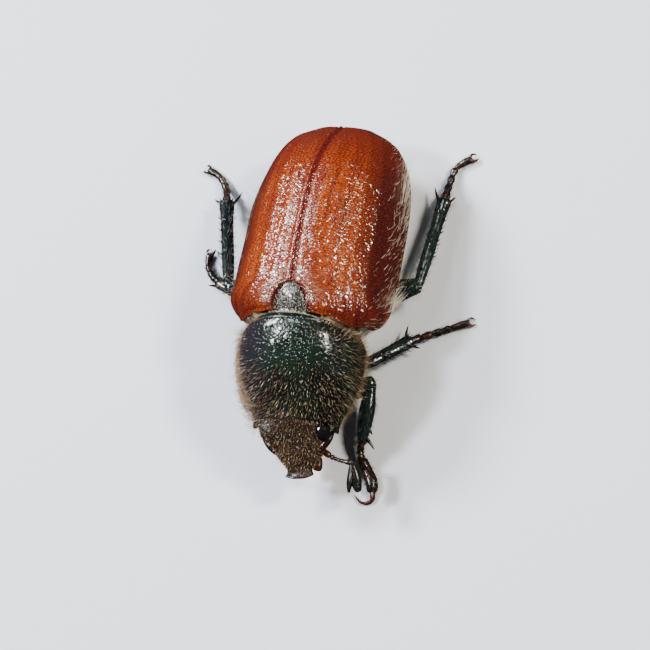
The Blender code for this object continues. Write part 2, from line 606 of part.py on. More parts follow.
def feeler(side, plan):
    """The stalk and the club of one antenna."""
    points = [Vector(point) for point in plan["stalk"]]
    centres, radii = beaded(points, FEELER_SPLITS, FEELER_RADII, FEELER_WAIST)
    sweep(f"antenna_{side}", centres, radii, 1, UP, MOUTH_BROWN, sides=8)
    towards = Vector(plan["leaves"]).normalized()
    forward = (points[-1] - points[-2]).normalized()
    spread_axis = Vector(plan["spread_axis"]).normalized()
    root = points[-1] + forward * (GAP + CLUB_KNOB)
    made = ellipsoid(f"antenna_club_{side}", root, (CLUB_KNOB,) * 3, LEG_BLACK, segments=10, rings=8)
    leaves = []
    for share in LEAF_FAN:
        direction = Matrix.Rotation(-share * LEAF_SPREAD, 3, spread_axis) @ towards
        thin = direction.cross(spread_axis)
        leaves.append(leaf(root + thin * (0.05 * share), direction, thin, LEAF_LENGTH))
    combine(made, leaves, "UNION")


def mouth():
    """The jaws under the clypeus and the two palps beside them."""
    place = head_point(1.64, 0, -1.08)
    side, up, along = head_frame()
    turn = Matrix((side, -along, up)).transposed().to_4x4()
    ellipsoid("jaws", place, Vector((0.36, 0.34, 0.2)), MOUTH_BROWN, turn)
    for name, sign in (("left", 1), ("right", -1)):
        places = ((1.2, 0.62, -1.4), (1.5, 0.74, -1.16), (1.84, 0.7, -0.92))
        points = [head_point(station, sign * across, height) for station, across, height in places]
        centres, radii = beaded(points, (0, 0.3, 0.6, 1), (PALP_RADIUS,) * 3, FEELER_WAIST)
        sweep(f"palp_{name}", centres, radii, 1, up, MOUTH_BROWN, sides=8)


def centre_on_floor():
    """Moves every object alike, so that the middle of the whole box's underside is the origin."""
    corners = [vert.co for made in bpy.context.scene.objects for vert in made.data.vertices]
    middle = [(min(c[i] for c in corners) + max(c[i] for c in corners)) / 2 for i in (0, 1)]
    shift = Matrix.Translation((-middle[0], -middle[1], -min(c.z for c in corners)))
    for made in bpy.context.scene.objects:
        made.data.transform(shift)


def main():
    for old in list(bpy.data.objects):
        bpy.data.objects.remove(old)
    for side, sign in (("left", 1), ("right", -1)):
        wing_case(side, sign)
    scutellum()
    thorax, abdomen = hind_body()
    head()
    prothorax = front_body()
    mouth()
    for name, plan in LEGS.items():
        leg(name, plan, prothorax if plan["kind"] == "fore" else thorax, (prothorax, thorax))
    for side, plan in FEELERS.items():
        feeler(side, plan)
    centre_on_floor()


main()
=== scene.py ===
"""The looks of a leaf chafer, a beetle 12 mm long: its plates, limbs, feelers and hairs.

Shapes are in millimetres in the beetle's own frame, as in its solid parts: +Y to its rear, +X to its left
and +Z up, with the floor at Z = 0. A Surface gives points from two shares, and a grid primitive is laid
over it; the finished pieces are in metres, in the frame of the solid parts that they stand for.
"""

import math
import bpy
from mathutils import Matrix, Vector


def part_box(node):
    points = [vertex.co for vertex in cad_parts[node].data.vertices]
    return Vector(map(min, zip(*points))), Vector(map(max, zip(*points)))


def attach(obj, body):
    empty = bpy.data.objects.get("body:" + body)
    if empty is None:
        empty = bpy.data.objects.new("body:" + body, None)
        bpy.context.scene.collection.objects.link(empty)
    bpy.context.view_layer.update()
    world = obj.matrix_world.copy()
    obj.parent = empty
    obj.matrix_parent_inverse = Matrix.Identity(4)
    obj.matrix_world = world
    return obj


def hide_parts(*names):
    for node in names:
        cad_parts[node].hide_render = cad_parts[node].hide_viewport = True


bl_info = {
    "name": "Leaf chafer",
    "version": (1, 0, 0),
    "blender": (4, 5, 0),
    "location": "View3D > Sidebar > Leaf chafer",
    "description": "Builds the plates, limbs, feelers and hairs of a leaf chafer",
    "category": "Object",
}

import bpy
import numpy as np
from mathutils import Matrix, Vector

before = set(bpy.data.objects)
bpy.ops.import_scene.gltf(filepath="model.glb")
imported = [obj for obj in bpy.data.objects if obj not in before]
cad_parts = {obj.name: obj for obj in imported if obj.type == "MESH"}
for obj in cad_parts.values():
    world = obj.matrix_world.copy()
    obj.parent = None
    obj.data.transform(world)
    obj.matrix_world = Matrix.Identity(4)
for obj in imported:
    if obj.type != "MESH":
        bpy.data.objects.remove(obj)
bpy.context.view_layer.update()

MM = 0.001
UP = np.array((0.0, 0.0, 1.0))
BACK = np.array((0.0, 1.0, 0.0))
SIDES = (("left", 1), ("right", -1))

# The wing cases as a dome, from shoulder to tip along Y.
SHELL_FRONT, SHELL_BACK = -0.95, 6.35
SHELL_HALF_WIDTH = [(-0.95, 2.4), (-0.5, 2.7), (0.3, 2.79), (1.8, 2.81), (3.4, 2.76), (4.4, 2.56), (5.1, 2.33),
                    (5.65, 2.03), (6.05, 1.66), (6.35, 1.05)]
SHELL_RIDGE = [(-0.95, 4.8), (-0.4, 4.96), (0.6, 5.02), (2.2, 4.98), (3.2, 4.84), (4.0, 4.62), (4.7, 4.3),
               (5.3, 3.88), (5.85, 3.34), (6.35, 2.66)]
SHELL_WIDEST = [(-0.95, 2.92), (0.4, 2.64), (1.8, 2.45), (3.0, 2.34), (4.6, 2.0), (6.35, 2.02)]
SHELL_POWER = [(-0.95, 2.24), (2.5, 1.84), (6.35, 2.26)]
SHELL_TUCK, SHELL_MARGIN_DROP = math.radians(11), 0.36
SHELL_CROWDING = 1.25
SHELL_WALL = 0.1
SUTURE_GAP = 0.012
RIBS = (0.13, 0.27, 0.41, 0.55, 0.69)
RIB_WIDTH, RIB_HEIGHT = 0.032, 0.022
SHOULDER_BUMP = (0.62, 0.075, 0.1, 0.06, 0.07)
SHOULDER_REACH, SHOULDER_SHARE, SHOULDER_SPREAD = 0.22, 0.52, 0.2

# The scutellum, the rounded plate between the shoulders.
SCUTELLUM_HALF_WIDTH, SCUTELLUM_LENGTH = 0.61, 0.97
SCUTELLUM_SINK, SCUTELLUM_WALL, SCUTELLUM_EDGE, SCUTELLUM_GAP = 0.03, 0.2, 0.1, 0.03
SCUTELLUM_ROUNDING = 0.8

# The body under the wing cases.
BELLY_HEIGHT = [(-1.3, 1.3), (-0.95, 1.18), (0.6, 1.04), (2.5, 1.0), (4.0, 1.16), (5.1, 1.5), (5.9, 1.9)]
THORAX_REACH, ABDOMEN_REACH = (-1.3, 1.6), (1.56, 5.8)
BODY_INSET, BELLY_POWER = 0.59, 2.1
VENTRITES, VENTRITE_STEP = 5, 0.07
TAIL_PLATE_CENTRE = np.array((0, 5.42, 2.12))
TAIL_PLATE_RADII = np.array((1.46, 0.52, 1.12))
TAIL_PLATE_TILT = math.radians(-24)

# The front body, whose roof is the pronotum, from its hind edge to its front edge.
COLLAR_BACK, COLLAR_FRONT = -1.03, -4.32
COLLAR_HALF_WIDTH = [(-4.32, 1.42), (-3.9, 1.68), (-3.3, 1.95), (-2.6, 2.14), (-2.0, 2.19), (-1.45, 2.08), (-1.05, 1.72)]
COLLAR_ROOF = [(-4.32, 3.2), (-3.7, 3.8), (-3.0, 4.32), (-2.2, 4.7), (-1.5, 4.86), (-1.05, 4.84)]
COLLAR_WIDEST = [(-4.32, 2.5), (-2.6, 2.72), (-1.05, 2.9)]
COLLAR_BELLY = [(-4.32, 1.62), (-3.0, 1.24), (-1.05, 1.24)]
COLLAR_POWER = 2.15
COLLAR_EDGE_BEAD = 0.035
COLLAR_CORNER_REACH, COLLAR_CORNER_WIDTH = 0.24, 0.035

# The head, in stations along its own axis from the pronotum to the tip of the clypeus.
HEAD_ROOT = np.array((0, -4.2, 3.26))
HEAD_PITCH, HEAD_YAW = math.radians(37), math.radians(5)
HEAD_BACK, HEAD_TIP = -0.55, 2.28
HEAD_HALF_WIDTH = [(-0.55, 0.72), (-0.1, 0.98), (0.4, 1.1), (0.8, 1.12), (1.15, 1.02), (1.5, 0.84), (1.85, 0.62),
                   (2.05, 0.46), (2.16, 0.45), (2.28, 0.5)]
HEAD_CROWN = [(-0.55, -0.14), (0.0, 0.0), (0.6, 0.05), (1.4, 0.0), (1.95, -0.05), (2.12, -0.02), (2.28, 0.06)]
HEAD_DEPTH = [(-0.55, 1.35), (0.0, 1.62), (0.6, 1.5), (1.1, 1.15), (1.5, 0.74), (1.9, 0.46), (2.28, 0.4)]
HEAD_POWER = 2.5
EYE_PLACE, EYE_RADIUS = (0.76, 0.96, -0.47), 0.36
EYE_BROWS = (0.0, 0.25)
JAW_PLACE, JAW_RADII = (1.64, 0, -1.08), (0.34, 0.32, 0.18)
PALP_PLACES = ((1.2, 0.6, -1.4), (1.85, 0.5, -1.05), (2.4, 0.37, -0.82))

# Each leg by its places: hip, knee, end of the tibia, then the foot's points down to where the claws grow.
LEGS = {
    "left_fore": {"kind": "fore", "hip": (0.72, -2.9, 1.12), "knee": (2.02, -2.36, 1.22), "ankle": (1.78, -4.3, 0.72),
                  "foot": [(1.7, -4.72, 0.42), (1.82, -5.0, 0.3), (2.1, -5.45, 0.22), (2.28, -6.0, 0.2)],
                  "claw": [(2.26, -6.24, 0.15), (1.94, -6.34, 0.11), (1.54, -6.06, 0.08)]},
    "right_fore": {"kind": "fore", "hip": (-0.72, -2.9, 1.12), "knee": (-1.86, -2.6, 1.4), "ankle": (-1.24, -4.0, 0.66),
                   "foot": [(-1.2, -4.34, 0.38), (-1.02, -4.52, 0.26), (-0.72, -4.62, 0.2), (-0.36, -4.6, 0.2)],
                   "claw": [(-0.1, -4.52, 0.16), (0.04, -4.3, 0.11), (-0.06, -4.06, 0.08)]},
    "left_middle": {"kind": "middle", "hip": (0.6, -0.42, 0.96), "knee": (1.62, -1.78, 1.26),
                    "ankle": (2.98, -0.6, 0.6), "foot": [(3.55, -0.25, 0.26), (4.2, 0.03, 0.19), (4.84, 0.28, 0.18)]},
    "right_middle": {"kind": "middle", "hip": (-0.6, -0.42, 0.96), "knee": (-2.2, -0.12, 1.12), "ankle": (-4.5, 1.12, 0.5),
                     "foot": [(-4.98, 1.48, 0.22), (-5.19, 1.88, 0.18), (-5.17, 2.28, 0.18)]},
    "left_hind": {"kind": "hind", "hip": (0.92, 0.62, 0.86), "knee": (3.18, 1.16, 1.3), "ankle": (3.46, 4.5, 0.72),
                  "foot": [(3.4, 5.2, 0.3), (3.5, 5.8, 0.18), (4.04, 6.2, 0.18)]},
    "right_hind": {"kind": "hind", "hip": (-0.92, 0.62, 0.86), "knee": (-3.52, 0.6, 1.95),
                   "ankle": (-4.66, 4.06, 0.68), "foot": [(-4.96, 4.7, 0.28), (-5.3, 5.12, 0.18), (-5.78, 5.36, 0.18)]},
}
FEMUR_BREADTH = {"fore": (0.24, 0.34, 0.36, 0.29, 0.22), "middle": (0.24, 0.34, 0.36, 0.3, 0.23),
                 "hind": (0.26, 0.4, 0.45, 0.37, 0.26)}
TIBIA_BREADTH = {"fore": (0.16, 0.2, 0.27, 0.27, 0.24, 0.17), "middle": (0.16, 0.21, 0.21, 0.22, 0.23, 0.26),
                 "hind": (0.17, 0.21, 0.225, 0.22, 0.23, 0.28)}
FEMUR_FLATTENING, TIBIA_FLATTENING = 0.78, 0.82
EVEN_SPLITS, EVEN_RADII = (0.0, 0.2, 0.38, 0.54, 0.69, 1.0), (0.15, 0.14, 0.135, 0.13, 0.13)
TARSUS_SPLITS = {"fore": (0.0, 0.11, 0.2, 0.28, 0.36, 1.0), "middle": EVEN_SPLITS, "hind": EVEN_SPLITS}
TARSUS_RADII = {"fore": (0.15, 0.14, 0.14, 0.15, 0.225), "middle": EVEN_RADII, "hind": EVEN_RADII}
COXA_REACH = 0.3
COXA_RADII = {"fore": (0.48, 0.4, 0.4), "middle": (0.48, 0.38, 0.34), "hind": (0.64, 0.4, 0.34)}
CLAW_RADIUS, CLAW_LENGTH, CLAW_SPREAD = 0.07, 0.3, 0.09
LONG_CLAW_RADIUS = 0.1
FORE_TEETH = ((0.16, 0.56), (0.5, 0.34))
TOOTH_RADIUS, SPUR_RADIUS, SPINE_RADIUS = 0.12, 0.055, 0.026
SPURS = {"middle": ((1, 0.9, 0.34), (-1, 0.9, 0.56)), "hind": ((-1, 0.45, 0.74), (1, 0.8, 0.3))}

# The feelers: a jointed stalk that ends in a club of three leaves.
FEELER_SPLITS, FEELER_RADII = (0.0, 0.4, 0.53, 0.65, 0.77, 0.88, 1.14), (0.12, 0.1, 0.08, 0.08, 0.085, 0.095)
FEELERS = {
    "left": {"stalk": [(0.84, -4.99, 1.94), (1.2, -5.2, 1.84), (1.47, -5.29, 1.8), (1.76, -5.33, 1.76)],
             "leaves": (0.2, -1.06, -0.3), "spread_axis": (0.36, -0.25, 0.9)},
    "right": {"stalk": [(-0.9, -4.92, 1.78), (-1.04, -4.72, 1.5), (-0.96, -4.52, 1.24), (-0.7, -4.44, 1.04)],
              "leaves": (0.7, -0.3, -0.1), "spread_axis": (0.2, 0.1, 1)},
}
LEAF_LENGTH, LEAF_HALF_BREADTH, LEAF_HALF_THICKNESS = 1.02, 0.18, 0.1
LEAF_FANS = {"left": ((12, 80, 0.0), (-6, 20, 0.03), (-9, 25, -0.17)),
             "right": ((14, 80, 0.0), (0, 80, 0.03), (-7, 70, -0.1))}
CLUB_GAP, CLUB_KNOB = 0.1, 0.12

# The camera as it stood to the photographed beetle: its axes, and the middle of the picture.
CAMERA_RIGHT = Vector((0.931, 0.151, -0.331))
CAMERA_UP = Vector((-0.053, 0.956, 0.287))
CAMERA_TARGET = Vector((1.166, -1.225, 4.192))
CAMERA_DISTANCE, PICTURE_WIDTH, SENSOR_WIDTH = 150.0, 21.96, 36.0

SKINS = {}


def home():
    """From the beetle's own frame to the frame of the solid parts, found from the scutellum."""
    low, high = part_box("scutellum")
    across = (low.x + high.x) / 2 / MM
    along = high.y / MM - (SHELL_FRONT + SCUTELLUM_LENGTH)
    return np.array((across, along, 0.0))


HOME = home()


def unit(vectors):
    """The vectors at length 1."""
    vectors = np.asarray(vectors, float)
    return vectors / np.maximum(np.linalg.norm(vectors, axis=-1, keepdims=True), 1e-12)


def between(stations, at):
    """Values on a smooth line through (place, value) stations, at one place or at many."""
    places, values = np.array(stations, float).T
    slopes = np.gradient(values, places) if len(places) > 2 else np.full(2, np.diff(values)[0] / np.diff(places)[0])
    at = np.clip(at, places[0], places[-1])
    i = np.clip(np.searchsorted(places, at, side="right") - 1, 0, len(places) - 2)
    step = places[i + 1] - places[i]
    t = (at - places[i]) / step
    rise = values[i] * (2 * t**3 - 3 * t**2 + 1) + values[i + 1] * (3 * t**2 - 2 * t**3)
    bend = slopes[i] * (t**3 - 2 * t**2 + t) + slopes[i + 1] * (t**3 - t**2)
    return rise + bend * step


def hump(at, middle, width):
    """A bell curve of height 1."""
    return np.exp(-(((at - middle) / width) ** 2))


def eased(at, start, end):
    """From 0 at start to 1 at end, level at both."""
    t = np.clip((at - start) / (end - start), 0, 1)
    return t * t * (3 - 2 * t)


def stacked(x, y, z):
    return np.stack(np.broadcast_arrays(x, y, z), axis=-1).astype(float)


class Surface:
    """A curved surface in millimetres, whose points come from u and v, each from 0 to 1."""

    STEP = 2e-4

    def __init__(self, place, inside=None):
        self.place = place
        shares = (np.arange(24) + 0.5) / 24
        u, v = (axis.ravel() for axis in np.meshgrid(shares, shares))
        points = place(u, v)
        middle = points.mean(axis=0) if inside is None else np.array(inside, float)
        self.facing = 1.0
        self.facing = math.copysign(1.0, (self.square(u, v) * (points - middle)).sum())

    def square(self, u, v):
        """Vectors square to the surface, as long as the area that a unit of u and v covers there."""
        u = np.clip(u, self.STEP, 1 - self.STEP)
        v = np.clip(v, self.STEP, 1 - self.STEP)
        across = (self.place(u + self.STEP, v) - self.place(u - self.STEP, v)) / (2 * self.STEP)
        along = (self.place(u, v + self.STEP) - self.place(u, v - self.STEP)) / (2 * self.STEP)
        return np.cross(across, along) * self.facing

    def normal(self, u, v):
        return unit(self.square(u, v))

    def raised(self, height, inside=None):
        """The surface moved outwards by height(u, v)."""
        return Surface(lambda u, v: self.place(u, v) + self.normal(u, v) * height(u, v)[..., None], inside)

    def spans(self, u, v):
        """Lengths over the surface in millimetres: across from u = 0, and along from v = 0."""
        shares = np.linspace(0, 1, 65)
        us, vs = np.meshgrid(shares, shares)
        points = self.place(us.ravel(), vs.ravel()).reshape(65, 65, 3)
        widths = np.linalg.norm(np.diff(points, axis=1), axis=2).sum(axis=1)
        lengths = np.linalg.norm(np.diff(points, axis=0), axis=2).mean(axis=1)
        walked = np.concatenate(([0], np.cumsum(lengths)))
        return u * np.interp(v, shares, widths), np.interp(v, shares, walked)


def rounded_ends(v, share=0.12, depth=0.08, power=2.0):
    """For a closed tube: how far along its line each v lies, and how wide the tube is there."""
    start = np.clip(v / share, 0, 1) * math.pi / 2
    end = np.clip((1 - v) / share, 0, 1) * math.pi / 2
    middle = depth + np.clip((v - share) / (1 - 2 * share), 0, 1) * (1 - 2 * depth)
    near = depth * (1 - np.cos(start).clip(0) ** (2 / power))
    far = 1 - depth * (1 - np.cos(end).clip(0) ** (2 / power))
    along = np.where(v < share, near, np.where(v > 1 - share, far, middle))
    width = np.minimum(np.sin(start), np.sin(end)).clip(0) ** (2 / power)
    return along, width


def section(u, half_width, rise, drop, power, belly_power):
    """Points of a rounded section about its widest line, once round from the middle of its belly."""
    angle = 2 * math.pi * u - math.pi / 2
    c, s = np.cos(angle), np.sin(angle)
    n = np.where(s >= 0, power, belly_power)
    across = np.copysign(np.abs(c) ** (2 / n), c) * half_width
    return across, np.copysign(np.abs(s) ** (2 / n), s) * np.where(s >= 0, rise, drop)


def line_through(points):
    """A smooth line through points, as a function of the share of its length."""
    points = np.array(points, float)
    walked = np.concatenate(([0], np.cumsum(np.linalg.norm(np.diff(points, axis=0), axis=1))))
    ahead = unit(points[-1] - points[-2]) * walked[-1]
    walked /= walked[-1]
    
    def line(share):
        inside = np.stack([between(list(zip(walked, points[:, i])), share) for i in range(3)], axis=-1)
        return inside + ahead * np.maximum(np.asarray(share, float) - 1, 0)[..., None]

    return line


def limb(points, breadths, flattening, flat_axis, share=0.12, depth=0.05, power=2.0):
    """A closed limb through points, broad by breadths from root to tip and flattened along an axis."""
    line = line_through(points)
    stations = list(zip(np.linspace(0, 1, len(breadths)), breadths))
    flat_axis = np.array(flat_axis, float)

    def place(u, v):
        along, width = rounded_ends(v, share, depth, power)
        centre = line(along)
        ahead = unit(line(np.clip(along + 0.01, 0, 1)) - line(np.clip(along - 0.01, 0, 1)))
        thin = unit(flat_axis - ahead * (ahead @ flat_axis)[..., None])
        broad = np.cross(ahead, thin)
        radius = (between(stations, along) * width)[..., None]
        angle = (2 * math.pi * u)[..., None]
        return centre + broad * radius * np.cos(angle) + thin * radius * flattening * np.sin(angle)

    return Surface(place)


def ball(centre, radii, turn=None):
    """An ellipsoid, its poles along its own Y."""
    turn = np.eye(3) if turn is None else np.array(turn)

    def place(u, v):
        round_, tall = 2 * math.pi * u, math.pi * v
        points = stacked(np.cos(round_) * np.sin(tall), -np.cos(tall), np.sin(round_) * np.sin(tall))
        return (points * np.array(radii)) @ turn.T + np.array(centre, float)

    return Surface(place)


def alone(piece):
    """Leaves one object selected and active."""
    bpy.ops.object.select_all(action="DESELECT")
    piece.select_set(True)
    bpy.context.view_layer.objects.active = piece


def laid(name, surface, across, along, finish, tube=True, wall=0.0):
    """A grid primitive laid over a surface. A tube is merged along its seam and at its ends, and a plate gets
    a wall of its own."""
    bpy.ops.object.select_all(action="DESELECT")
    bpy.ops.mesh.primitive_grid_add(x_subdivisions=across, y_subdivisions=along, size=1)
    piece = bpy.context.object
    piece.name = piece.data.name = name
    mesh = piece.data
    flat = np.empty(len(mesh.vertices) * 3, np.float32)
    mesh.vertices.foreach_get("co", flat)
    u, v = np.clip(flat.reshape(-1, 3)[:, 0] + 0.5, 0, 1), np.clip(flat.reshape(-1, 3)[:, 1] + 0.5, 0, 1)
    seam = (u > 0.9999) | (v < 0.0001) | (v > 0.9999)
    points = (surface.place(np.where(seam, 0.0, u) if tube else u, v) + HOME) * MM
    mesh.vertices.foreach_set("co", points.astype(np.float32).ravel())

    corners = np.empty(len(mesh.loops), np.int32)
    mesh.loops.foreach_get("vertex_index", corners)
    mesh.uv_layers.remove(mesh.uv_layers[0])
    spans = surface.spans(u, v)
    for map_name, pair in (("Share", (u, v)), ("Span", spans)):
        layer = mesh.uv_layers.new(name=map_name)
        layer.data.foreach_set("uv", np.stack(pair, axis=-1)[corners].astype(np.float32).ravel())

    bpy.ops.object.mode_set(mode="EDIT")
    bpy.ops.mesh.select_all(action="SELECT")
    if surface.facing < 0:
        bpy.ops.mesh.flip_normals()
    if tube:
        bpy.ops.mesh.remove_doubles(threshold=0.000001)
    bpy.ops.object.mode_set(mode="OBJECT")
    if wall:
        solidify = piece.modifiers.new("Wall", "SOLIDIFY")
        solidify.thickness = wall * MM
        solidify.offset = -1
        bpy.ops.object.modifier_apply(modifier="Wall")
    bpy.ops.object.shade_smooth_by_angle(angle=math.radians(60))
    mesh.materials.append(finish)
    return piece


def joined(name, pieces):
    """Several meshes made one."""
    alone(pieces[0])
    for piece in pieces[1:]:
        piece.select_set(True)
    if len(pieces) > 1:
        bpy.ops.object.join()
    whole = bpy.context.view_layer.objects.active
    whole.name = whole.data.name = name
    return whole


def stands_for(piece, slot, *nodes):
    """The piece rides on the body and is shown instead of solid parts. The slot is not used."""
    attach(piece, "root")
    if nodes:
        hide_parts(*nodes)
    return piece


def thorn(name, points, radius, finish, flattening=1.0, sides=8, rows=8):
    """A tapered spine, tooth or claw through points, from root to tip."""
    breadths = [radius, radius * 0.82, radius * 0.55, radius * 0.12]
    points = [np.array(point, float) for point in points]
    axis = np.cross(points[-1] - points[0], (0.3, 0.2, 1.0))
    return laid(name, limb(points, breadths, flattening, axis, share=0.1, depth=0.03), sides, rows, finish)


# Finishes


class Finish:
    """A material that is put together node by node; a socket given as a value is linked."""

    def __init__(self, name):
        self.material = bpy.data.materials.new(name)
        self.material.use_nodes = True
        self.nodes = self.material.node_tree.nodes
        self.links = self.material.node_tree.links
        self.shader = self.nodes["Principled BSDF"]

    def feed(self, socket, value):
        if isinstance(value, bpy.types.NodeSocket):
            self.links.new(value, socket)
        else:
            socket.default_value = value

    def add(self, kind, inputs=None, output=0, **settings):
        node = self.nodes.new("ShaderNode" + kind)
        for key, value in settings.items():
            setattr(node, key, value)
        for key, value in (inputs or {}).items():
            self.feed(node.inputs[key], value)
        return node.outputs[output]

    def millimetres(self):
        """The piece's own coordinates, in millimetres."""
        place = self.add("TexCoord", output="Object")
        return self.add("Mapping", {"Vector": place, "Scale": (1 / MM,) * 3})

    def stretched(self, vector, scale):
        return self.add("Mapping", {"Vector": vector, "Scale": scale})

    def noise(self, vector, scale, detail=3.0, roughness=0.5):
        return self.add("TexNoise", {"Vector": vector, "Scale": scale, "Detail": detail, "Roughness": roughness})

    def pits(self, vector, scale, start, end, flat=False):
        """Rounded pits: 0 at the middle of each, 1 on the ground between them."""
        cells = self.add("TexVoronoi", {"Vector": vector, "Scale": scale}, "Distance",
                         voronoi_dimensions="2D" if flat else "3D")
        return self.levels(cells, start, end)

    def cobbles(self, vector, scale, groove, flat=True):
        """Low flat-topped domes: 1 on each and 0 in the narrow grooves between them, then each one's own lean."""
        space = "2D" if flat else "3D"
        edge = self.add("TexVoronoi", {"Vector": vector, "Scale": scale}, "Distance",
                        voronoi_dimensions=space, feature="DISTANCE_TO_EDGE")
        cell = self.add("TexVoronoi", {"Vector": vector, "Scale": scale}, voronoi_dimensions=space).node.outputs
        way = self.add("VectorMath", {0: cell["Color"], 1: (0.5, 0.5, 0.5)}, operation="SUBTRACT")
        offset = self.add("VectorMath", {0: vector, 1: cell["Position"]}, operation="SUBTRACT")
        strength = self.add("Math", {0: self.add("SeparateXYZ", {"Vector": cell["Color"]}, "Z"), 1: 2.5},
                            operation="POWER")
        lean = self.times(self.add("VectorMath", {0: way, 1: offset}, "Value", operation="DOT_PRODUCT"), strength)
        return self.levels(edge, 0.0, groove), lean

    def levels(self, value, low, high, new_low=0.0, new_high=1.0):
        inputs = {"Value": value, "From Min": low, "From Max": high, "To Min": new_low, "To Max": new_high}
        return self.add("MapRange", inputs, interpolation_type="SMOOTHSTEP")

    def sum(self, a, b, share=1.0):
        """a + b * share"""
        return self.add("Math", {0: b, 1: share, 2: a}, operation="MULTIPLY_ADD")

    def times(self, a, b):
        return self.add("Math", {0: a, 1: b}, operation="MULTIPLY")

    def blended(self, factor, a, b, blend_type="MIX"):
        inputs = {0: factor, 6: a if isinstance(a, bpy.types.NodeSocket) else (*a, 1),
                  7: b if isinstance(b, bpy.types.NodeSocket) else (*b, 1)}
        return self.add("Mix", inputs, 2, data_type="RGBA", blend_type=blend_type)

    def bump(self, height, depth, strength=1.0):
        """Relief of a depth in millimetres."""
        normal = self.add("Bump", {"Height": height, "Distance": depth * MM, "Strength": strength})
        self.feed(self.shader.inputs["Normal"], normal)

    def set(self, **values):
        for key, value in values.items():
            self.feed(self.shader.inputs[key.replace("_", " ").title().replace("Ior", "IOR")], value)
        return self.material


def wing_case_finish(colours):
    """Glossy red-brown horn under close small domes, darker at its edges and along the suture; the dark of the flanks
    and of the grooves between the domes is partly painted shade.
    """
    f = Finish("wing_case_horn")
    span, share = f.add("UVMap", uv_map="Span"), f.add("UVMap", uv_map="Share")
    shares = f.add("SeparateXYZ", {"Vector": share}).node
    across, along = shares.outputs["X"], shares.outputs["Y"]
    wobble = f.add("TexNoise", {"Vector": span, "Scale": 3.0}, "Color")
    bent = f.add("VectorMath", {0: wobble, 1: (0.16, 0.16, 0.16), 2: span}, operation="MULTIPLY_ADD")
    domes, lean = f.cobbles(f.stretched(bent, (0.78, 1.2, 1.0)), 8.8, 0.24)
    mottles = f.noise(f.stretched(bent, (7.0, 9.0, 1.0)), 1.0, 3.0, 0.7)
    folds = f.noise(f.stretched(bent, (2.2, 4.6, 1.0)), 1.0, 2.0)
    grain = f.noise(f.stretched(span, (16.0, 22.0, 1.0)), 1.0, 2.0)
    streaks = f.noise(f.stretched(span, (3.4, 0.35, 1.0)), 1.0, 3.0)
    clouds = f.noise(f.stretched(span, (0.9, 0.55, 1.0)), 1.0, 2.0)

    colour = f.blended(f.levels(streaks, 0.3, 0.72, 0.2, 1.0), colours.shell_deep, colours.shell_bright)
    colour = f.blended(f.levels(clouds, 0.44, 0.74, 0.0, 0.6), colour, colours.shell_deep)
    offset = f.add("VectorMath", {0: span, 1: (0.0, 1.0, 0.0)}, operation="SUBTRACT")
    away = f.add("VectorMath", {0: f.stretched(offset, (1 / 0.8, 1 / 0.9, 1.0))}, "Value", operation="LENGTH")
    colour = f.blended(f.levels(away, 0.5, 1.1, 0.55, 0.0), colour, colours.shell_dusty)
    # The flanks turn toward the dark edge colour: partly the horn's own dark margin, partly painted shade for the
    # flanks that turn from the light.
    flank = f.levels(f.sum(f.sum(across, streaks, 0.14), along, 0.1), 0.5, 0.71, 0.0, 0.98)
    colour = f.blended(flank, colour, colours.shell_edges_and_painted_shade)
    front = f.levels(f.sum(along, clouds, -0.16), -0.05, 0.07, 0.95, 0.0)
    deep_front = f.blended(f.levels(streaks, 0.35, 0.6), colours.shell_edges_and_painted_shade, colours.shell_deep)
    colour = f.blended(f.times(front, f.levels(across, 0.1, 0.4, 0.3, 1.0)), colour, deep_front)
    rear = f.levels(along, 0.52, 0.9, 0.0, 0.92)
    colour = f.blended(rear, colour, colours.shell_deep)
    seam = f.levels(across, 0.012, 0.03, 0.9, 0.0)
    colour = f.blended(seam, colour, colours.shell_seam)
    colour = f.blended(f.levels(mottles, 0.46, 0.6, 0.0, 0.5), colour, colours.shell_deep)
    # The grooves between the domes, broken up by the mottles, take the dark edge colour: partly the horn's own dark
    # net, partly painted shade in the grooves.
    colour = f.blended(f.levels(f.sum(domes, mottles, -0.9), -0.4, 0.35, 0.85, 0.0), colour, colours.shell_edges_and_painted_shade)

    relief = f.sum(f.sum(domes, folds, 1.6), grain, 0.2)
    lean = f.times(lean, f.levels(along, 0.5, 0.72, 1.0, 0.3))
    f.bump(f.sum(relief, lean, 95.0), 0.006)
    gloss = f.levels(f.noise(span, 9.0), 0.3, 0.7, 0.1, 0.17)
    return f.set(base_color=colour, roughness=gloss, ior=1.5)


def plate_finish(name, dark, tint, painted_side_sheen, spacing, depth, metallic, roughness, lean=0.5, ior=1.6):
    """Black horn with a metal sheen, its close pits leaving small domes between them. The pits are darkened as painted
    shade, and the beetle's right side takes a painted reflection.
    """
    f = Finish(name)
    place = f.millimetres()
    domes = f.pits(place, 1 / spacing, 0.16, 0.46)
    grain = f.noise(place, 13.0, 2.0)
    clouds = f.noise(place, 0.9, 2.0)
    colour = f.blended(f.levels(clouds, 0.38, 0.64), dark, tint)
    across = f.add("SeparateXYZ", {"Vector": place}).node.outputs["X"]
    # On the beetle's right side (negative X) the colour turns to the side colour given: a painted reflection of the
    # side that faces the key lamp.
    colour = f.blended(f.levels(across, 0.4, -1.4, 0.0, 0.9), colour, painted_side_sheen)
    # Near-black in the pits: painted shade.
    colour = f.blended(f.levels(domes, 0.1, 0.7, 0.75, 0.0), colour, (0.002, 0.002, 0.002))
    leaning = f.cobbles(place, 0.95 / spacing, 0.1, flat=False)[1]
    f.bump(f.sum(f.sum(domes, grain, 0.4), leaning, lean / depth), depth)
    gloss = f.levels(grain, 0.3, 0.7, roughness - 0.06, roughness + 0.1)
    return f.set(base_color=colour, roughness=gloss, metallic=metallic, ior=ior)


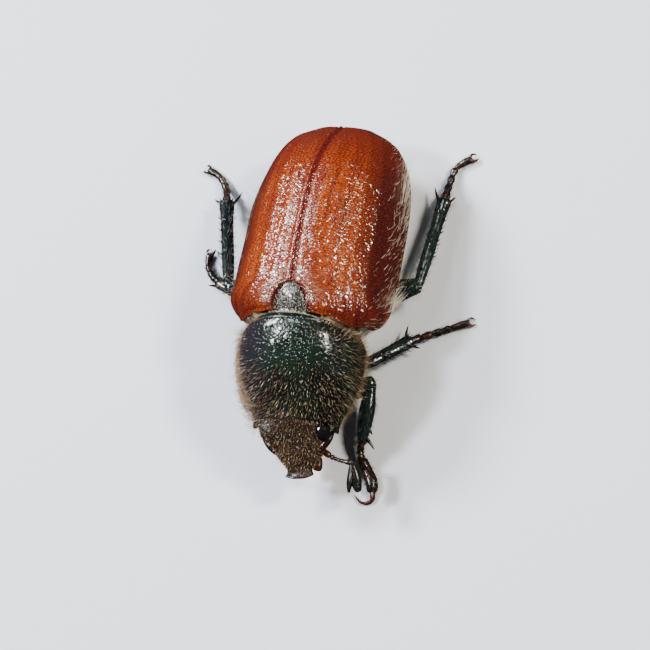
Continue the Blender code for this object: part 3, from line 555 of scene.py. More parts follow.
def horn_finish(name, deep, bright, roughness, relief=0.01, scale=7.0, coat=0.2, ior=1.5):
    """Smooth dark horn of the limbs and mouth, with fine wrinkles and pale or reddish clouds."""
    f = Finish(name)
    place = f.millimetres()
    clouds = f.noise(place, 2.4, 3.0)
    wrinkles = f.noise(place, scale, 3.0, 0.6)
    pits = f.pits(place, scale * 0.9, 0.05, 0.3)
    colour = f.blended(f.levels(clouds, 0.4, 0.66), deep, bright)
    f.bump(f.sum(pits, wrinkles, 0.5), relief)
    gloss = f.levels(wrinkles, 0.3, 0.7, roughness - 0.05, roughness + 0.1)
    return f.set(base_color=colour, roughness=gloss, ior=ior, coat_weight=coat, coat_roughness=0.1)


def eye_finish():
    """Black and glossy, with the fine grain of its facets."""
    f = Finish("eye_facets")
    place = f.millimetres()
    facets = f.pits(place, 34.0, 0.1, 0.6)
    f.bump(facets, 0.0012, 0.5)
    colour = f.blended(facets, (0.002, 0.002, 0.003), (0.004, 0.004, 0.005))
    return f.set(base_color=colour, roughness=f.levels(f.noise(place, 3.0), 0.3, 0.7, 0.05, 0.1), ior=1.42)


def hair_finish(name, dark, middle, pale, shares=(0.0, 0.45, 0.8, 1.0)):
    """Hairs of three tones, from dark to pale by the shares of each, and darker at their roots."""
    f = Finish(name)
    strand = f.add("SeparateXYZ", {"Vector": f.add("UVMap", uv_map="Strand")}).node
    colour = f.blended(f.levels(strand.outputs["X"], shares[0], shares[1]), dark, middle)
    colour = f.blended(f.levels(strand.outputs["X"], shares[2], shares[3]), colour, pale)
    shade = f.levels(strand.outputs["Y"], 0.0, 0.7, 0.55, 1.0)
    colour = f.blended(1.0, colour, f.add("CombineXYZ", {"X": shade, "Y": shade, "Z": shade}), "MULTIPLY")
    return f.set(base_color=colour, roughness=0.34, ior=1.5)


# Hairs

CELL_SHARE, TABLE, TRIES = 1.12, 96, 3.2
HAIR_CLEARANCE = 0.27


def roots_on(surface, spacing, seed, keep=None):
    """Places spread evenly over a surface, about one spacing apart: their u and v."""
    rng = np.random.default_rng(seed)
    middles = (np.arange(TABLE) + 0.5) / TABLE
    u, v = (axis.ravel() for axis in np.meshgrid(middles, middles))
    areas = np.linalg.norm(surface.square(u, v), axis=1) / TABLE**2
    if keep is not None:
        wanted = np.pad((keep(surface.place(u, v), u, v) > 0).reshape(TABLE, TABLE), 1)
        near = np.any([wanted[i:i + TABLE, j:j + TABLE] for i in range(3) for j in range(3)], axis=0)
        areas = areas * near.ravel()
    count = int(areas.sum() / spacing**2 * TRIES)
    cell = rng.choice(TABLE**2, count, p=areas / areas.sum())
    u = (cell % TABLE + rng.random(count)) / TABLE
    v = (cell // TABLE + rng.random(count)) / TABLE
    points = surface.place(u, v)
    if keep is not None:
        kept = rng.random(count) < keep(points, u, v)
        u, v, points = u[kept], v[kept], points[kept]
    cells = np.floor(points / (spacing * CELL_SHARE)).astype(int)
    picked = np.unique(cells, axis=0, return_index=True)[1]
    return u[picked], v[picked]


def hairs(surface, spacing, seed, lie, length, radius, rise=(55, 15), wander=0.3, joints=3, keep=None, sink=0.01):
    """A batch of hairs: each leaves the surface at the first angle of rise and ends at the second, in degrees,
    leaning the way that lie points."""
    u, v = roots_on(surface, spacing, seed, keep)
    rng = np.random.default_rng(seed + 1)
    root, normal = surface.place(u, v), surface.normal(u, v)
    heading = lie(root, u, v) if callable(lie) else np.broadcast_to(np.array(lie, float), root.shape)
    tangent = unit(heading - normal * (heading * normal).sum(axis=1)[:, None])
    side = np.cross(normal, tangent)
    turn = rng.normal(0, wander, len(u))[:, None]
    tangent = tangent * np.cos(turn) + side * np.sin(turn)
    side = np.cross(normal, tangent)
    reach = (length(root, u, v) if callable(length) else length) * rng.uniform(0.72, 1.2, len(u))
    lift = rng.uniform(0.8, 1.2, len(u))
    twist = rng.normal(0, 0.25, len(u))[:, None]
    spine, axes = [root - normal * sink], []
    for j in range(joints):
        angle = np.radians(rise[0] + (rise[1] - rise[0]) * (j + 0.5) / joints) * lift
        angle = angle[:, None]
        way = unit(tangent * np.cos(angle) + normal * np.sin(angle) + side * twist * (j / joints))
        spine.append(spine[-1] + way * (reach / joints)[:, None])
        axes.append(way)
    return {"uv": np.stack((u, v), axis=-1), "spine": np.stack(spine, 1), "way": np.stack(axes, 1),
            "side": side, "radius": radius, "shade": rng.random(len(u))}


def coat(name, batches, finish):
    """One mesh of many hairs, each a thin three-sided cone. OFBake puts each hair at its root's place on an
    unwrap in which every batch has a square of its own."""
    cells = math.ceil(math.sqrt(len(batches)))
    points, faces, bake, strand = [], [], [], []
    first = 0
    for index, batch in enumerate(batches):
        spine, way = batch["spine"], batch["way"]
        count, joints = len(spine), way.shape[1]
        rings = []
        for j in range(joints):
            second = unit(np.cross(way[:, j], batch["side"]))
            radius = batch["radius"] * (1 - 0.55 * (j / joints) ** 1.4)
            for k in range(3):
                angle = 2 * math.pi * k / 3
                rings.append(spine[:, j] + radius * (batch["side"] * math.cos(angle) + second * math.sin(angle)))
        rings.append(spine[:, joints])
        block = np.stack(rings, axis=1)
        size = block.shape[1]
        pattern = []
        for j in range(joints - 1):
            for k in range(3):
                a, b = 3 * j + k, 3 * j + (k + 1) % 3
                pattern += [(a, b, b + 3), (a, b + 3, a + 3)]
        last = 3 * (joints - 1)
        pattern += [(last + k, last + (k + 1) % 3, size - 1) for k in range(3)]
        starts = first + np.arange(count)[:, None, None] * size
        faces.append((starts + np.array(pattern)[None]).reshape(-1, 3))
        points.append(block.reshape(-1, 3))
        corner = np.array((index % cells, index // cells)) / cells
        roots = corner + (0.01 + 0.98 * batch["uv"]) / cells
        spot = np.array([((k % 3) / 2 - 0.5, (k // 3) / joints - 0.5) for k in range(size)]) * 0.003
        bake.append((roots[:, None] + spot[None]).reshape(-1, 2))
        rows = np.minimum(np.arange(size) // 3, joints) / joints
        pair = np.stack(np.broadcast_arrays(batch["shade"][:, None], rows[None]), axis=-1)
        strand.append(pair.reshape(-1, 2))
        first += count * size
    points, faces = (np.concatenate(points) + HOME) * MM, np.concatenate(faces)
    mesh = bpy.data.meshes.new(name)
    mesh.from_pydata(points.tolist(), [], faces.tolist())
    corners = faces.ravel()
    for map_name, values in (("OFBake", np.concatenate(bake)), ("Strand", np.concatenate(strand))):
        layer = mesh.uv_layers.new(name=map_name)
        layer.data.foreach_set("uv", values[corners].astype(np.float32).ravel())
    mesh.shade_smooth()
    mesh.materials.append(finish)
    piece = bpy.data.objects.new(name, mesh)
    bpy.context.scene.collection.objects.link(piece)
    print(name, sum(len(batch["uv"]) for batch in batches), "hairs", len(faces), "triangles")
    return piece


# Surfaces of the plates


def shell_height(x, y):
    """The height of the wing cases over a point of the plan."""
    half_width, widest, power = between(SHELL_HALF_WIDTH, y), between(SHELL_WIDEST, y), between(SHELL_POWER, y)
    share = np.clip(np.abs(x) / half_width, 0, 1)
    return widest + (between(SHELL_RIDGE, y) - widest) * (1 - share**power) ** (1 / power)


def inner_edge(y):
    """How far from the middle a wing case begins: beside the scutellum, and behind it along the suture."""
    share = np.clip((y - SHELL_FRONT) / (SCUTELLUM_LENGTH + SCUTELLUM_GAP), 0, 1)
    half_width = (SCUTELLUM_HALF_WIDTH + SCUTELLUM_GAP) * np.sqrt(1 - share ** (2 / SCUTELLUM_ROUNDING))
    return np.maximum(half_width, SUTURE_GAP)


def shell_surface(sign):
    """One wing case: u runs from the suture to the outer edge, v from the shoulder to the tip."""

    def place(u, v):
        front = SHELL_FRONT - SHOULDER_REACH * hump(u, SHOULDER_SHARE, SHOULDER_SPREAD)
        y = front + (SHELL_BACK - front) * (1 - (1 - v) ** SHELL_CROWDING)
        angle = math.pi / 2 - u * (math.pi / 2 + SHELL_TUCK)
        widest, power = between(SHELL_WIDEST, y), between(SHELL_POWER, y)
        inner = inner_edge(y)
        x = inner + (between(SHELL_HALF_WIDTH, y) - inner) * np.abs(np.cos(angle)) ** (2 / power)
        over = shell_height(x, y)
        under = widest + angle / SHELL_TUCK * SHELL_MARGIN_DROP
        return stacked(sign * x, y, np.where(angle > 0, over, under))

    def relief(u, v):
        ribs = sum(hump(u, rib, RIB_WIDTH) for rib in RIBS) * RIB_HEIGHT * eased(v, 0.03, 0.14) * eased(v, 0.97, 0.85)
        suture = 0.03 * hump(u, 0.0, 0.012) - 0.035 * hump(u, 0.03, 0.013)
        bead = 0.03 * hump(u, 1.0, 0.02) - 0.02 * hump(u, 0.955, 0.015)
        u0, v0, wide, long, high = SHOULDER_BUMP
        shoulder = high * hump(u, u0, wide) * hump(v, v0, long)
        front = -0.12 * hump(v, 0.0, 0.014)
        return ribs + suture + bead + shoulder + front

    return Surface(place, (0, 2.5, 2.4)).raised(relief, (0, 2.5, 2.4))


def scutellum_surface():
    def place(u, v):
        turn = v * math.pi / 2
        across = 2 * u - 1
        x = across * SCUTELLUM_HALF_WIDTH * np.cos(turn)
        y = SHELL_FRONT - 0.06 + (SCUTELLUM_LENGTH + 0.06) * np.sin(turn) ** SCUTELLUM_ROUNDING
        edge = np.maximum(np.abs(across) ** 5, v**9)
        return stacked(x, y, shell_height(x, np.maximum(y, SHELL_FRONT)) - SCUTELLUM_SINK - SCUTELLUM_EDGE * edge)

    return Surface(place, (0, -0.4, 3.0))


def body_surface(reach, rings=0):
    """The body under the wing cases, between two places along Y, with its rings overlapping backwards."""
    start, end = reach

    def place(u, v):
        along, width = rounded_ends(v, 0.05, 0.01, 3.0)
        y = start + (end - start) * along
        step = 0.0
        if rings:
            share = (along * rings) % 1.0
            step = VENTRITE_STEP * (0.35 * share + 0.65 * share**6) - VENTRITE_STEP
        at = np.maximum(y, SHELL_FRONT)
        slant = np.hypot(1, (between(SHELL_HALF_WIDTH, at + 0.05) - between(SHELL_HALF_WIDTH, at - 0.05)) / 0.1)
        top_slant = np.hypot(1, (between(SHELL_RIDGE, at + 0.05) - between(SHELL_RIDGE, at - 0.05)) / 0.1)
        widest = between(SHELL_WIDEST, at) - 0.1
        half_width = np.maximum(between(SHELL_HALF_WIDTH, at) - BODY_INSET * slant + 0.12 + step, 0.4)
        rise = np.maximum(between(SHELL_RIDGE, at) - 0.5 * top_slant - widest, 0.1)
        drop = np.maximum(widest - between(BELLY_HEIGHT, y) + step, 0.2)
        x, z = section(u, half_width * width, rise * width, drop * width, between(SHELL_POWER, at), BELLY_POWER)
        return stacked(x, y, widest + z)

    return Surface(place)


def collar_surface():
    """The front body: v runs from its hind edge to its front edge."""

    def place(u, v):
        along, width = rounded_ends(v, 0.07, 0.015, 3.4)
        y = COLLAR_BACK + (COLLAR_FRONT - COLLAR_BACK) * along
        widest = between(COLLAR_WIDEST, y)
        rise, drop = between(COLLAR_ROOF, y) - widest, widest - between(COLLAR_BELLY, y)
        x, z = section(u, between(COLLAR_HALF_WIDTH, y) * width, rise * width, drop * width, COLLAR_POWER, BELLY_POWER)
        corner = hump(u, 0.235, COLLAR_CORNER_WIDTH) + hump(u, 0.765, COLLAR_CORNER_WIDTH)
        reach = corner * hump(v, 0.93, 0.05)
        x = x + np.sign(x) * reach * 0.1
        hind_bay = 0.05 * hump(v, 0.07, 0.05) * (hump(u, 0.38, 0.05) + hump(u, 0.62, 0.05))
        return stacked(x, y - reach * COLLAR_CORNER_REACH - hind_bay, widest + z)

    def relief(u, v):
        side = hump(u, 0.245, 0.006) + hump(u, 0.755, 0.006)
        edge = COLLAR_EDGE_BEAD * side * eased(v, 0.06, 0.12) * eased(v, 0.95, 0.88)
        hind = 0.03 * hump(v, 0.065, 0.012) - 0.025 * hump(v, 0.095, 0.012)
        front = 0.025 * hump(v, 0.935, 0.012) - 0.02 * hump(v, 0.905, 0.012)
        return edge + hind + front

    return Surface(place).raised(relief)


def head_axes():
    turn = Matrix.Rotation(HEAD_YAW, 3, "Z") @ Matrix.Rotation(HEAD_PITCH, 3, "X")
    return [np.array(turn @ Vector(axis)) for axis in ((1, 0, 0), (0, 0, 1), (0, -1, 0))]


def head_point(station, across, height):
    side, up, along = head_axes()
    parts = [np.asarray(value, float)[..., None] * axis for value, axis in
             ((station, along), (across, side), (height, up))]
    return HEAD_ROOT + parts[0] + parts[1] + parts[2]


def head_surface():
    """The head: v runs from under the pronotum to the turned-up lip of the clypeus."""
    eyes = [head_point(EYE_PLACE[0], sign * EYE_PLACE[1], EYE_PLACE[2]) for sign in (1, -1)]

    def place(u, v):
        along, width = rounded_ends(v, 0.045, 0.008, 3.2)
        station = HEAD_BACK + (HEAD_TIP - HEAD_BACK) * along
        depth = between(HEAD_DEPTH, station) / 2
        x, z = section(u, between(HEAD_HALF_WIDTH, station) * width, depth * width, depth * width,
                       HEAD_POWER, HEAD_POWER)
        crown = between(HEAD_CROWN, station)
        return head_point(station, x, crown - depth + z)

    def relief(u, v):
        station = HEAD_BACK + (HEAD_TIP - HEAD_BACK) * rounded_ends(v, 0.045, 0.008, 3.2)[0]
        return -0.03 * hump(station, 1.3, 0.05) * hump(u, 0.5, 0.16)

    plain = Surface(place)

    def socketed(u, v):
        points = plain.place(u, v)
        normal = plain.normal(u, v)
        lift = relief(u, v)
        for eye, brow in zip(eyes, EYE_BROWS):
            away = np.linalg.norm(points - eye, axis=-1)
            over = brow * hump(away, EYE_RADIUS - 0.1, 0.24) * eased(points[..., 2] - eye[2], 0.0, 0.2)
            dent = -0.16 * hump(away, EYE_RADIUS - 0.1, 0.12) * (brow == 0)
            lift = lift + 0.03 * hump(away, EYE_RADIUS + 0.07, 0.05) + dent + over
        return points + normal * lift[..., None]

    return Surface(socketed)


def canthus_points(sign):
    """The ridge that runs from the clypeus over the front of the eye."""
    return [head_point(1.5, sign * 0.74, -0.2), head_point(1.22, sign * 0.98, -0.36),
            head_point(1.02, sign * 1.16, -0.5), head_point(0.84, sign * 1.27, -0.62)]


# Operators


class ChaferColours(bpy.types.PropertyGroup):
    """The colours that a user would change."""

    shell_bright: bpy.props.FloatVectorProperty(
        name="Wing case, bright", description="Middle of the wing cases", subtype="COLOR", size=3,
        min=0, max=1, default=(0.24, 0.042, 0.004))
    shell_deep: bpy.props.FloatVectorProperty(
        name="Wing case, deep", description="Streaks and clouds of the wing cases", subtype="COLOR", size=3,
        min=0, max=1, default=(0.095, 0.010, 0.003))
    # Flanks, front edge and the grooves between the domes; on the flanks and in the grooves this dark is partly painted
    # shade.
    shell_edges_and_painted_shade: bpy.props.FloatVectorProperty(
        name="Wing case, edges", description="Flanks, front edge, suture and pits", subtype="COLOR", size=3,
        min=0, max=1, default=(0.022, 0.003, 0.003))
    shell_seam: bpy.props.FloatVectorProperty(
        name="Wing case, seam", description="The raised edges along the suture", subtype="COLOR", size=3,
        min=0, max=1, default=(0.055, 0.004, 0.006))
    shell_dusty: bpy.props.FloatVectorProperty(
        name="Wing case, dusty", description="The finely pitted zone beside the scutellum", subtype="COLOR", size=3,
        min=0, max=1, default=(0.17, 0.08, 0.055))
    plate_green: bpy.props.FloatVectorProperty(
        name="Plate sheen", description="Metal sheen of the black plates", subtype="COLOR", size=3,
        min=0, max=1, default=(0.006, 0.014, 0.009))
    cream_hair: bpy.props.FloatVectorProperty(
        name="Belly hairs", description="The long hairs of the underside", subtype="COLOR", size=3,
        min=0, max=1, default=(0.70, 0.63, 0.50))
    golden_hair: bpy.props.FloatVectorProperty(
        name="Head hairs", description="The short hairs of the head and pronotum", subtype="COLOR", size=3,
        min=0, max=1, default=(0.31, 0.18, 0.075))


class ChaferSizes(bpy.types.PropertyGroup):
    """The sizes that a user would change."""

    belly_hair: bpy.props.FloatProperty(
        name="Belly hair", description="Length of the hairs of the underside", default=0.0008, min=0.0001,
        max=0.002, unit="LENGTH", subtype="DISTANCE")
    collar_hair: bpy.props.FloatProperty(
        name="Pronotum hair", description="Length of the hairs of the pronotum", default=0.00024, min=0.0001,
        max=0.001, unit="LENGTH", subtype="DISTANCE")
    shell_hair: bpy.props.FloatProperty(
        name="Wing case hair", description="Length of the hairs on the flanks of the wing cases", default=0.00025,
        min=0.0001, max=0.001, unit="LENGTH", subtype="DISTANCE")
    camera_distance: bpy.props.FloatProperty(
        name="Camera distance", description="From the camera to the middle of the picture",
        default=CAMERA_DISTANCE * MM, min=0.05, max=1, unit="LENGTH", subtype="DISTANCE")


def colours():
    return bpy.context.scene.chafer_colours


def sizes():
    return bpy.context.scene.chafer_sizes


def finish_named(name):
    return bpy.data.materials[name]


class CHAFER_OT_finishes(bpy.types.Operator):
    """Makes the finishes that several pieces share"""

    bl_idname = "chafer.finishes"
    bl_label = "Finishes"

    def execute(self, context):
        c = colours()
        wing_case_finish(c)
        # The bluish painted reflection for the right side of the pronotum, and the near-black of its horn.
        painted_blue_sheen, near_black = (0.018, 0.016, 0.023), (0.004, 0.005, 0.004)
        plate_finish("pronotum_plate", near_black, c.plate_green, painted_blue_sheen, 0.1, 0.010, 0.35, 0.15)
        plate_finish("scutellum_plate", (0.012, 0.011, 0.009), (0.018, 0.016, 0.012), (0.012, 0.011, 0.011), 0.085, 0.009,
                     0.3, 0.22)
        plate_finish("head_plate", (0.010, 0.006, 0.004), (0.022, 0.012, 0.006), (0.010, 0.008, 0.006), 0.085,
                     0.014, 0.1, 0.3, 0.8, 1.36)
        plate_finish("belly_plate", (0.012, 0.014, 0.012), (0.018, 0.030, 0.022), (0.02, 0.02, 0.02), 0.12, 0.015,
                     0.25, 0.36)
        horn_finish("leg_horn", (0.003, 0.005, 0.006), (0.004, 0.011, 0.011), 0.16, 0.05, 3.6, 0.0)
        horn_finish("foot_horn", (0.003, 0.004, 0.004), (0.02, 0.005, 0.003), 0.16, 0.024, 7.0, 0.0, 1.4)
        horn_finish("claw_horn", (0.018, 0.004, 0.003), (0.06, 0.014, 0.006), 0.18, 0.003, 9.0, 0.2)
        horn_finish("mouth_horn", (0.03, 0.006, 0.003), (0.17, 0.038, 0.014), 0.2, 0.006, 9.0, 0.2)
        horn_finish("cheek_horn", (0.003, 0.002, 0.002), (0.014, 0.004, 0.003), 0.12, 0.016, 7.0, 0.0, 1.34)
        horn_finish("feeler_horn", (0.008, 0.003, 0.002), (0.036, 0.007, 0.004), 0.2, 0.004, 12.0, 0.1)
        horn_finish("club_horn", (0.003, 0.004, 0.004), (0.009, 0.006, 0.005), 0.2, 0.014, 12.0, 0.0, 1.33)
        eye_finish()
        cream, golden = tuple(c.cream_hair), tuple(c.golden_hair)
        hair_finish("cream_hair", [0.45 * value for value in cream], cream, (0.95, 0.92, 0.84))
        hair_finish("golden_hair", (0.05, 0.022, 0.010), golden, (0.7, 0.62, 0.48), (0.25, 0.7, 0.82, 0.99))
        hair_finish("pale_hair", (0.30, 0.19, 0.10), (0.62, 0.50, 0.34), (0.9, 0.84, 0.7))
        hair_finish("dark_hair", (0.02, 0.014, 0.01), (0.07, 0.045, 0.03), (0.3, 0.24, 0.18), (0.2, 0.6, 0.9, 1.0))
        return {"FINISHED"}


class CHAFER_OT_wing_cases(bpy.types.Operator):
    """Builds the two wing cases and the scutellum between them"""

    bl_idname = "chafer.wing_cases"
    bl_label = "Wing cases"

    def execute(self, context):
        for side, sign in SIDES:
            surface = SKINS[f"shell_{side}"] = shell_surface(sign)
            piece = laid(f"shell_{side}", surface, 130, 210, finish_named("wing_case_horn"), False, SHELL_WALL)
            stands_for(piece, "wing_case", f"elytron_{side}")
        surface = SKINS["scutellum"] = scutellum_surface()
        piece = laid("scutellum_plate", surface, 40, 50, finish_named("scutellum_plate"), False, SCUTELLUM_WALL)
        stands_for(piece, "scutellum", "scutellum")
        return {"FINISHED"}


class CHAFER_OT_front_body(bpy.types.Operator):
    """Builds the front body with the pronotum as its roof"""

    bl_idname = "chafer.front_body"
    bl_label = "Front body"

    def execute(self, context):
        surface = SKINS["collar"] = collar_surface()
        stands_for(laid("collar", surface, 160, 130, finish_named("pronotum_plate")), "pronotum", "prothorax")
        return {"FINISHED"}


class CHAFER_OT_hind_body(bpy.types.Operator):
    """Builds the thorax, the ringed abdomen and the tail plate"""

    bl_idname = "chafer.hind_body"
    bl_label = "Hind body"

    def execute(self, context):
        belly = finish_named("belly_plate")
        surface = SKINS["breast"] = body_surface(THORAX_REACH)
        stands_for(laid("breast", surface, 96, 48, belly), "underside", "thorax")
        surface = SKINS["rings"] = body_surface(ABDOMEN_REACH, VENTRITES)
        stands_for(laid("rings", surface, 96, 110, belly), "underside", "abdomen")
        tilt = Matrix.Rotation(TAIL_PLATE_TILT, 3, "X")
        surface = SKINS["tail"] = ball(TAIL_PLATE_CENTRE, TAIL_PLATE_RADII, tilt)
        stands_for(laid("tail_plate", surface, 64, 40, belly), "underside", "pygidium")
        return {"FINISHED"}


class CHAFER_OT_head(bpy.types.Operator):
    """Builds the head with its ridges, and finishes the eyes"""

    bl_idname = "chafer.head"
    bl_label = "Head"

    def execute(self, context):
        plate = finish_named("head_plate")
        surface = SKINS["head"] = head_surface()
        parts = [laid("skull", surface, 112, 120, plate)]
        for side, sign in SIDES:
            ridge = limb(canthus_points(sign), (0.07, 0.15, 0.14, 0.06), 0.8, UP, 0.15, 0.06)
            parts.append(laid("canthus", ridge, 18, 24, finish_named("cheek_horn")))
        rim = limb([head_point(2.22, -0.47, 0.0), head_point(2.26, -0.25, 0.05), head_point(2.27, 0, 0.06),
                    head_point(2.26, 0.25, 0.05), head_point(2.22, 0.47, 0.0)], (0.03, 0.045, 0.045, 0.045, 0.03), 0.8,
                   UP, 0.1, 0.04)
        parts.append(laid("lip", rim, 12, 36, finish_named("cheek_horn")))
        stands_for(joined("head_plates", parts), "head", "head")
        for side, _ in SIDES:
            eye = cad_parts[f"eye_{side}"]
            eye.data.materials.clear()
            eye.data.materials.append(finish_named("eye_facets"))
        return {"FINISHED"}


class CHAFER_OT_mouth(bpy.types.Operator):
    """Builds the jaws and the palps under the clypeus"""

    bl_idname = "chafer.mouth"
    bl_label = "Mouth"

    def execute(self, context):
        horn = finish_named("mouth_horn")
        side_axis, up, along = head_axes()
        turn = np.stack((side_axis, -along, up), axis=1)
        parts = []
        for _, sign in SIDES:
            place = head_point(JAW_PLACE[0], sign * 0.15, JAW_PLACE[2])
            parts.append(laid("jaw", ball(place, np.array(JAW_RADII) * (0.62, 1, 1), turn), 24, 16, horn))
        stands_for(joined("jaw_pair", parts), "mouthpart", "jaws")
        for side, sign in SIDES:
            points = [head_point(station, sign * across, height) for station, across, height in PALP_PLACES]
            parts = beads(points, (0, 0.3, 0.64, 1.0), (0.09, 0.12, 0.17), horn, 14)
            stands_for(joined(f"palp_beads_{side}", parts), "mouthpart", f"palp_{side}")
        return {"FINISHED"}


def beads(points, splits, widths, finish, sides, waist=0.55, keep=None):
    """A row of jointed pieces along a line, each narrow at its root and widest before its end."""
    line = line_through(points)
    made = []
    for number, (start, end, width) in enumerate(zip(splits, splits[1:], widths)):
        places = [line(start + (end - start) * share) for share in (-0.04, 0.33, 0.66, 1.0)]
        breadths = [width * waist, width * 0.86, width, width * 0.8]
        surface = limb(places, breadths, 0.9, (0.1, 0.05, 1.0), 0.16, 0.1)
        made.append(laid("bead", surface, sides, 14, finish))
        if keep is not None:
            SKINS[f"{keep}_{number}"] = surface
    return made


class CHAFER_OT_feelers(bpy.types.Operator):
    """Builds the stalk and the three-leaved club of each feeler"""

    bl_idname = "chafer.feelers"
    bl_label = "Feelers"

    def execute(self, context):
        for side, _ in SIDES:
            plan = FEELERS[side]
            points = [np.array(point) for point in plan["stalk"]]
            stalk = beads(points, FEELER_SPLITS, FEELER_RADII, finish_named("feeler_horn"), 12, keep=f"stalk_{side}")
            stands_for(joined(f"stalk_{side}", stalk), "feeler", f"antenna_{side}")
            towards = Vector(plan["leaves"]).normalized()
            forward = Vector(points[-1] - points[-2]).normalized()
            spread_axis = Vector(plan["spread_axis"]).normalized()
            root = Vector(points[-1]) + forward * (CLUB_GAP + CLUB_KNOB * 0.6)
            club = [laid("knob", ball(root, (CLUB_KNOB, CLUB_KNOB, CLUB_KNOB)), 12, 10, finish_named("club_horn"))]
            for number, (fan, twist, rise) in enumerate(LEAF_FANS[side]):
                direction = Matrix.Rotation(math.radians(-fan), 3, spread_axis) @ towards
                thin = Matrix.Rotation(math.radians(twist), 3, direction) @ spread_axis
                start = root + spread_axis * rise
                places = [start + direction * (LEAF_LENGTH * step) for step in (0.0, 0.33, 0.66, 1.0)]
                breadths = [LEAF_HALF_BREADTH * width for width in (0.5, 0.9, 1.0, 0.45)]
                surface = limb(places, breadths, LEAF_HALF_THICKNESS / LEAF_HALF_BREADTH, thin, 0.14, 0.06)
                SKINS[f"leaf_{side}_{number}"] = surface
                club.append(laid("leaf", surface, 16, 26, finish_named("club_horn")))
            stands_for(joined(f"club_{side}", club), "feeler_club", f"antenna_club_{side}")
        return {"FINISHED"}


def build_leg(name, plan):
    """One leg: coxa, femur, tibia with its teeth, spurs and spines, and the foot of five joints with claws."""
    kind = plan["kind"]
    hip, knee, ankle = (np.array(plan[key]) for key in ("hip", "knee", "ankle"))
    foot = [np.array(point) for point in plan["foot"]]
    thigh, shin = unit(knee - hip), unit(ankle - knee)
    flat_axis = unit(np.cross(thigh, shin))
    outer = np.cross(shin, flat_axis)
    horn, foot_horn, claw_horn = (finish_named(key) for key in ("leg_horn", "foot_horn", "claw_horn"))

    coxa = laid("coxa", ball(hip, COXA_RADII[kind]), 32, 24, horn)
    stands_for(joined(f"hip_{name}", [coxa]), "leg", f"coxa_{name}")

    root = hip + thigh * (COXA_REACH * 0.7)
    femur = limb([root, root + (knee - root) * 0.5, knee + thigh * 0.12], FEMUR_BREADTH[kind], FEMUR_FLATTENING,
                 flat_axis, 0.1, 0.05)
    SKINS[f"femur_{name}"] = femur
    stands_for(joined(f"thigh_{name}", [laid("femur", femur, 28, 44, horn)]), "leg", f"femur_{name}")

    tibia = limb([knee - shin * 0.06, knee + (ankle - knee) * 0.5, ankle], TIBIA_BREADTH[kind], TIBIA_FLATTENING,
                 flat_axis, 0.07, 0.03, 3.0)
    SKINS[f"tibia_{name}"] = tibia
    parts = [laid("tibia", tibia, 28, 56, horn)]
    breadth = TIBIA_BREADTH[kind][-1]
    if kind == "fore":
        for back, length in FORE_TEETH:
            base = ankle - shin * back + outer * (breadth * 0.5)
            tip = base + unit(outer + shin * 0.9) * length
            parts.append(thorn("tooth", [base, (base + tip) / 2 + shin * -0.03, tip], TOOTH_RADIUS, horn, 0.7, 12, 14))
    else:
        for side, slant, length in SPURS[kind]:
            base = ankle - shin * 0.12 + outer * (side * breadth * 0.75)
            tip = base + unit(outer * (side * slant) + shin * 0.75) * length
            parts.append(thorn("spur", [base, (base + tip) / 2 + outer * (side * 0.02), tip], SPUR_RADIUS, foot_horn))
    parts += spines(knee, ankle, shin, outer, flat_axis, breadth, foot_horn, kind)
    stands_for(joined(f"shin_{name}", parts), "leg", f"tibia_{name}")

    points = [ankle - shin * 0.05] + foot
    parts = beads(points, TARSUS_SPLITS[kind], TARSUS_RADII[kind], foot_horn, 14, 0.78, keep=f"foot_{name}")
    parts += claws(foot, [np.array(point) for point in plan.get("claw", [])], claw_horn)
    stands_for(joined(f"foot_{name}", parts), "foot", f"tarsus_{name}")


def spines(knee, ankle, shin, outer, flat_axis, breadth, finish, kind):
    """The crown of short spines round the end of a tibia, and the rows along its outer edge."""
    made = []
    for k in range(9):
        angle = 2 * math.pi * (k + 0.5) / 9
        way = outer * math.cos(angle) + flat_axis * (TIBIA_FLATTENING * math.sin(angle))
        base = ankle - shin * 0.04 + way * (breadth * 0.82)
        tip = base + unit(shin + way * 0.45) * (0.13 + 0.04 * math.cos(3 * angle))
        made.append(thorn("spine", [base, tip], SPINE_RADIUS, finish, 1.0, 6, 5))
    if kind != "fore":
        for row, share in enumerate((0.36, 0.5, 0.64, 0.78)):
            for k in (-1, 0, 1):
                way = unit(outer + flat_axis * (0.55 * k))
                base = knee + (ankle - knee) * (share + 0.02 * k) + way * (breadth * 0.7)
                tip = base + unit(way + shin * 0.9) * (0.2 - 0.03 * abs(k))
                made.append(thorn("spine", [base, tip], SPINE_RADIUS, finish, 1.0, 6, 5))
    return made


def claws(foot, long_claw, finish):
    """The two claws of a foot; on a forefoot one of them is long and curls round."""
    forward = unit(foot[-1] - foot[-2])
    across = unit(np.cross(forward, UP))
    root = foot[-1] - forward * 0.1
    low = UP * (foot[-1][2] - 0.05)
    made = []
    for sign in (1, -1):
        start = root + across * (sign * 0.04)
        tip = root + forward * CLAW_LENGTH + across * (sign * CLAW_SPREAD) - low
        middle = (start + tip) / 2 + across * (sign * 0.07) + UP * 0.05
        points, radius = [start, middle, tip], CLAW_RADIUS
        if long_claw:
            points = [root, *long_claw] if sign == 1 else [root, long_claw[0], root * 0.2 + long_claw[1] * 0.8 - low]
            radius = LONG_CLAW_RADIUS
        made.append(thorn("claw", points, radius, finish, 0.8, 12, 22))
    return made


class CHAFER_OT_legs(bpy.types.Operator):
    """Builds the six legs"""

    bl_idname = "chafer.legs"
    bl_label = "Legs"

    def execute(self, context):
        for name, plan in LEGS.items():
            build_leg(name, plan)
        return {"FINISHED"}


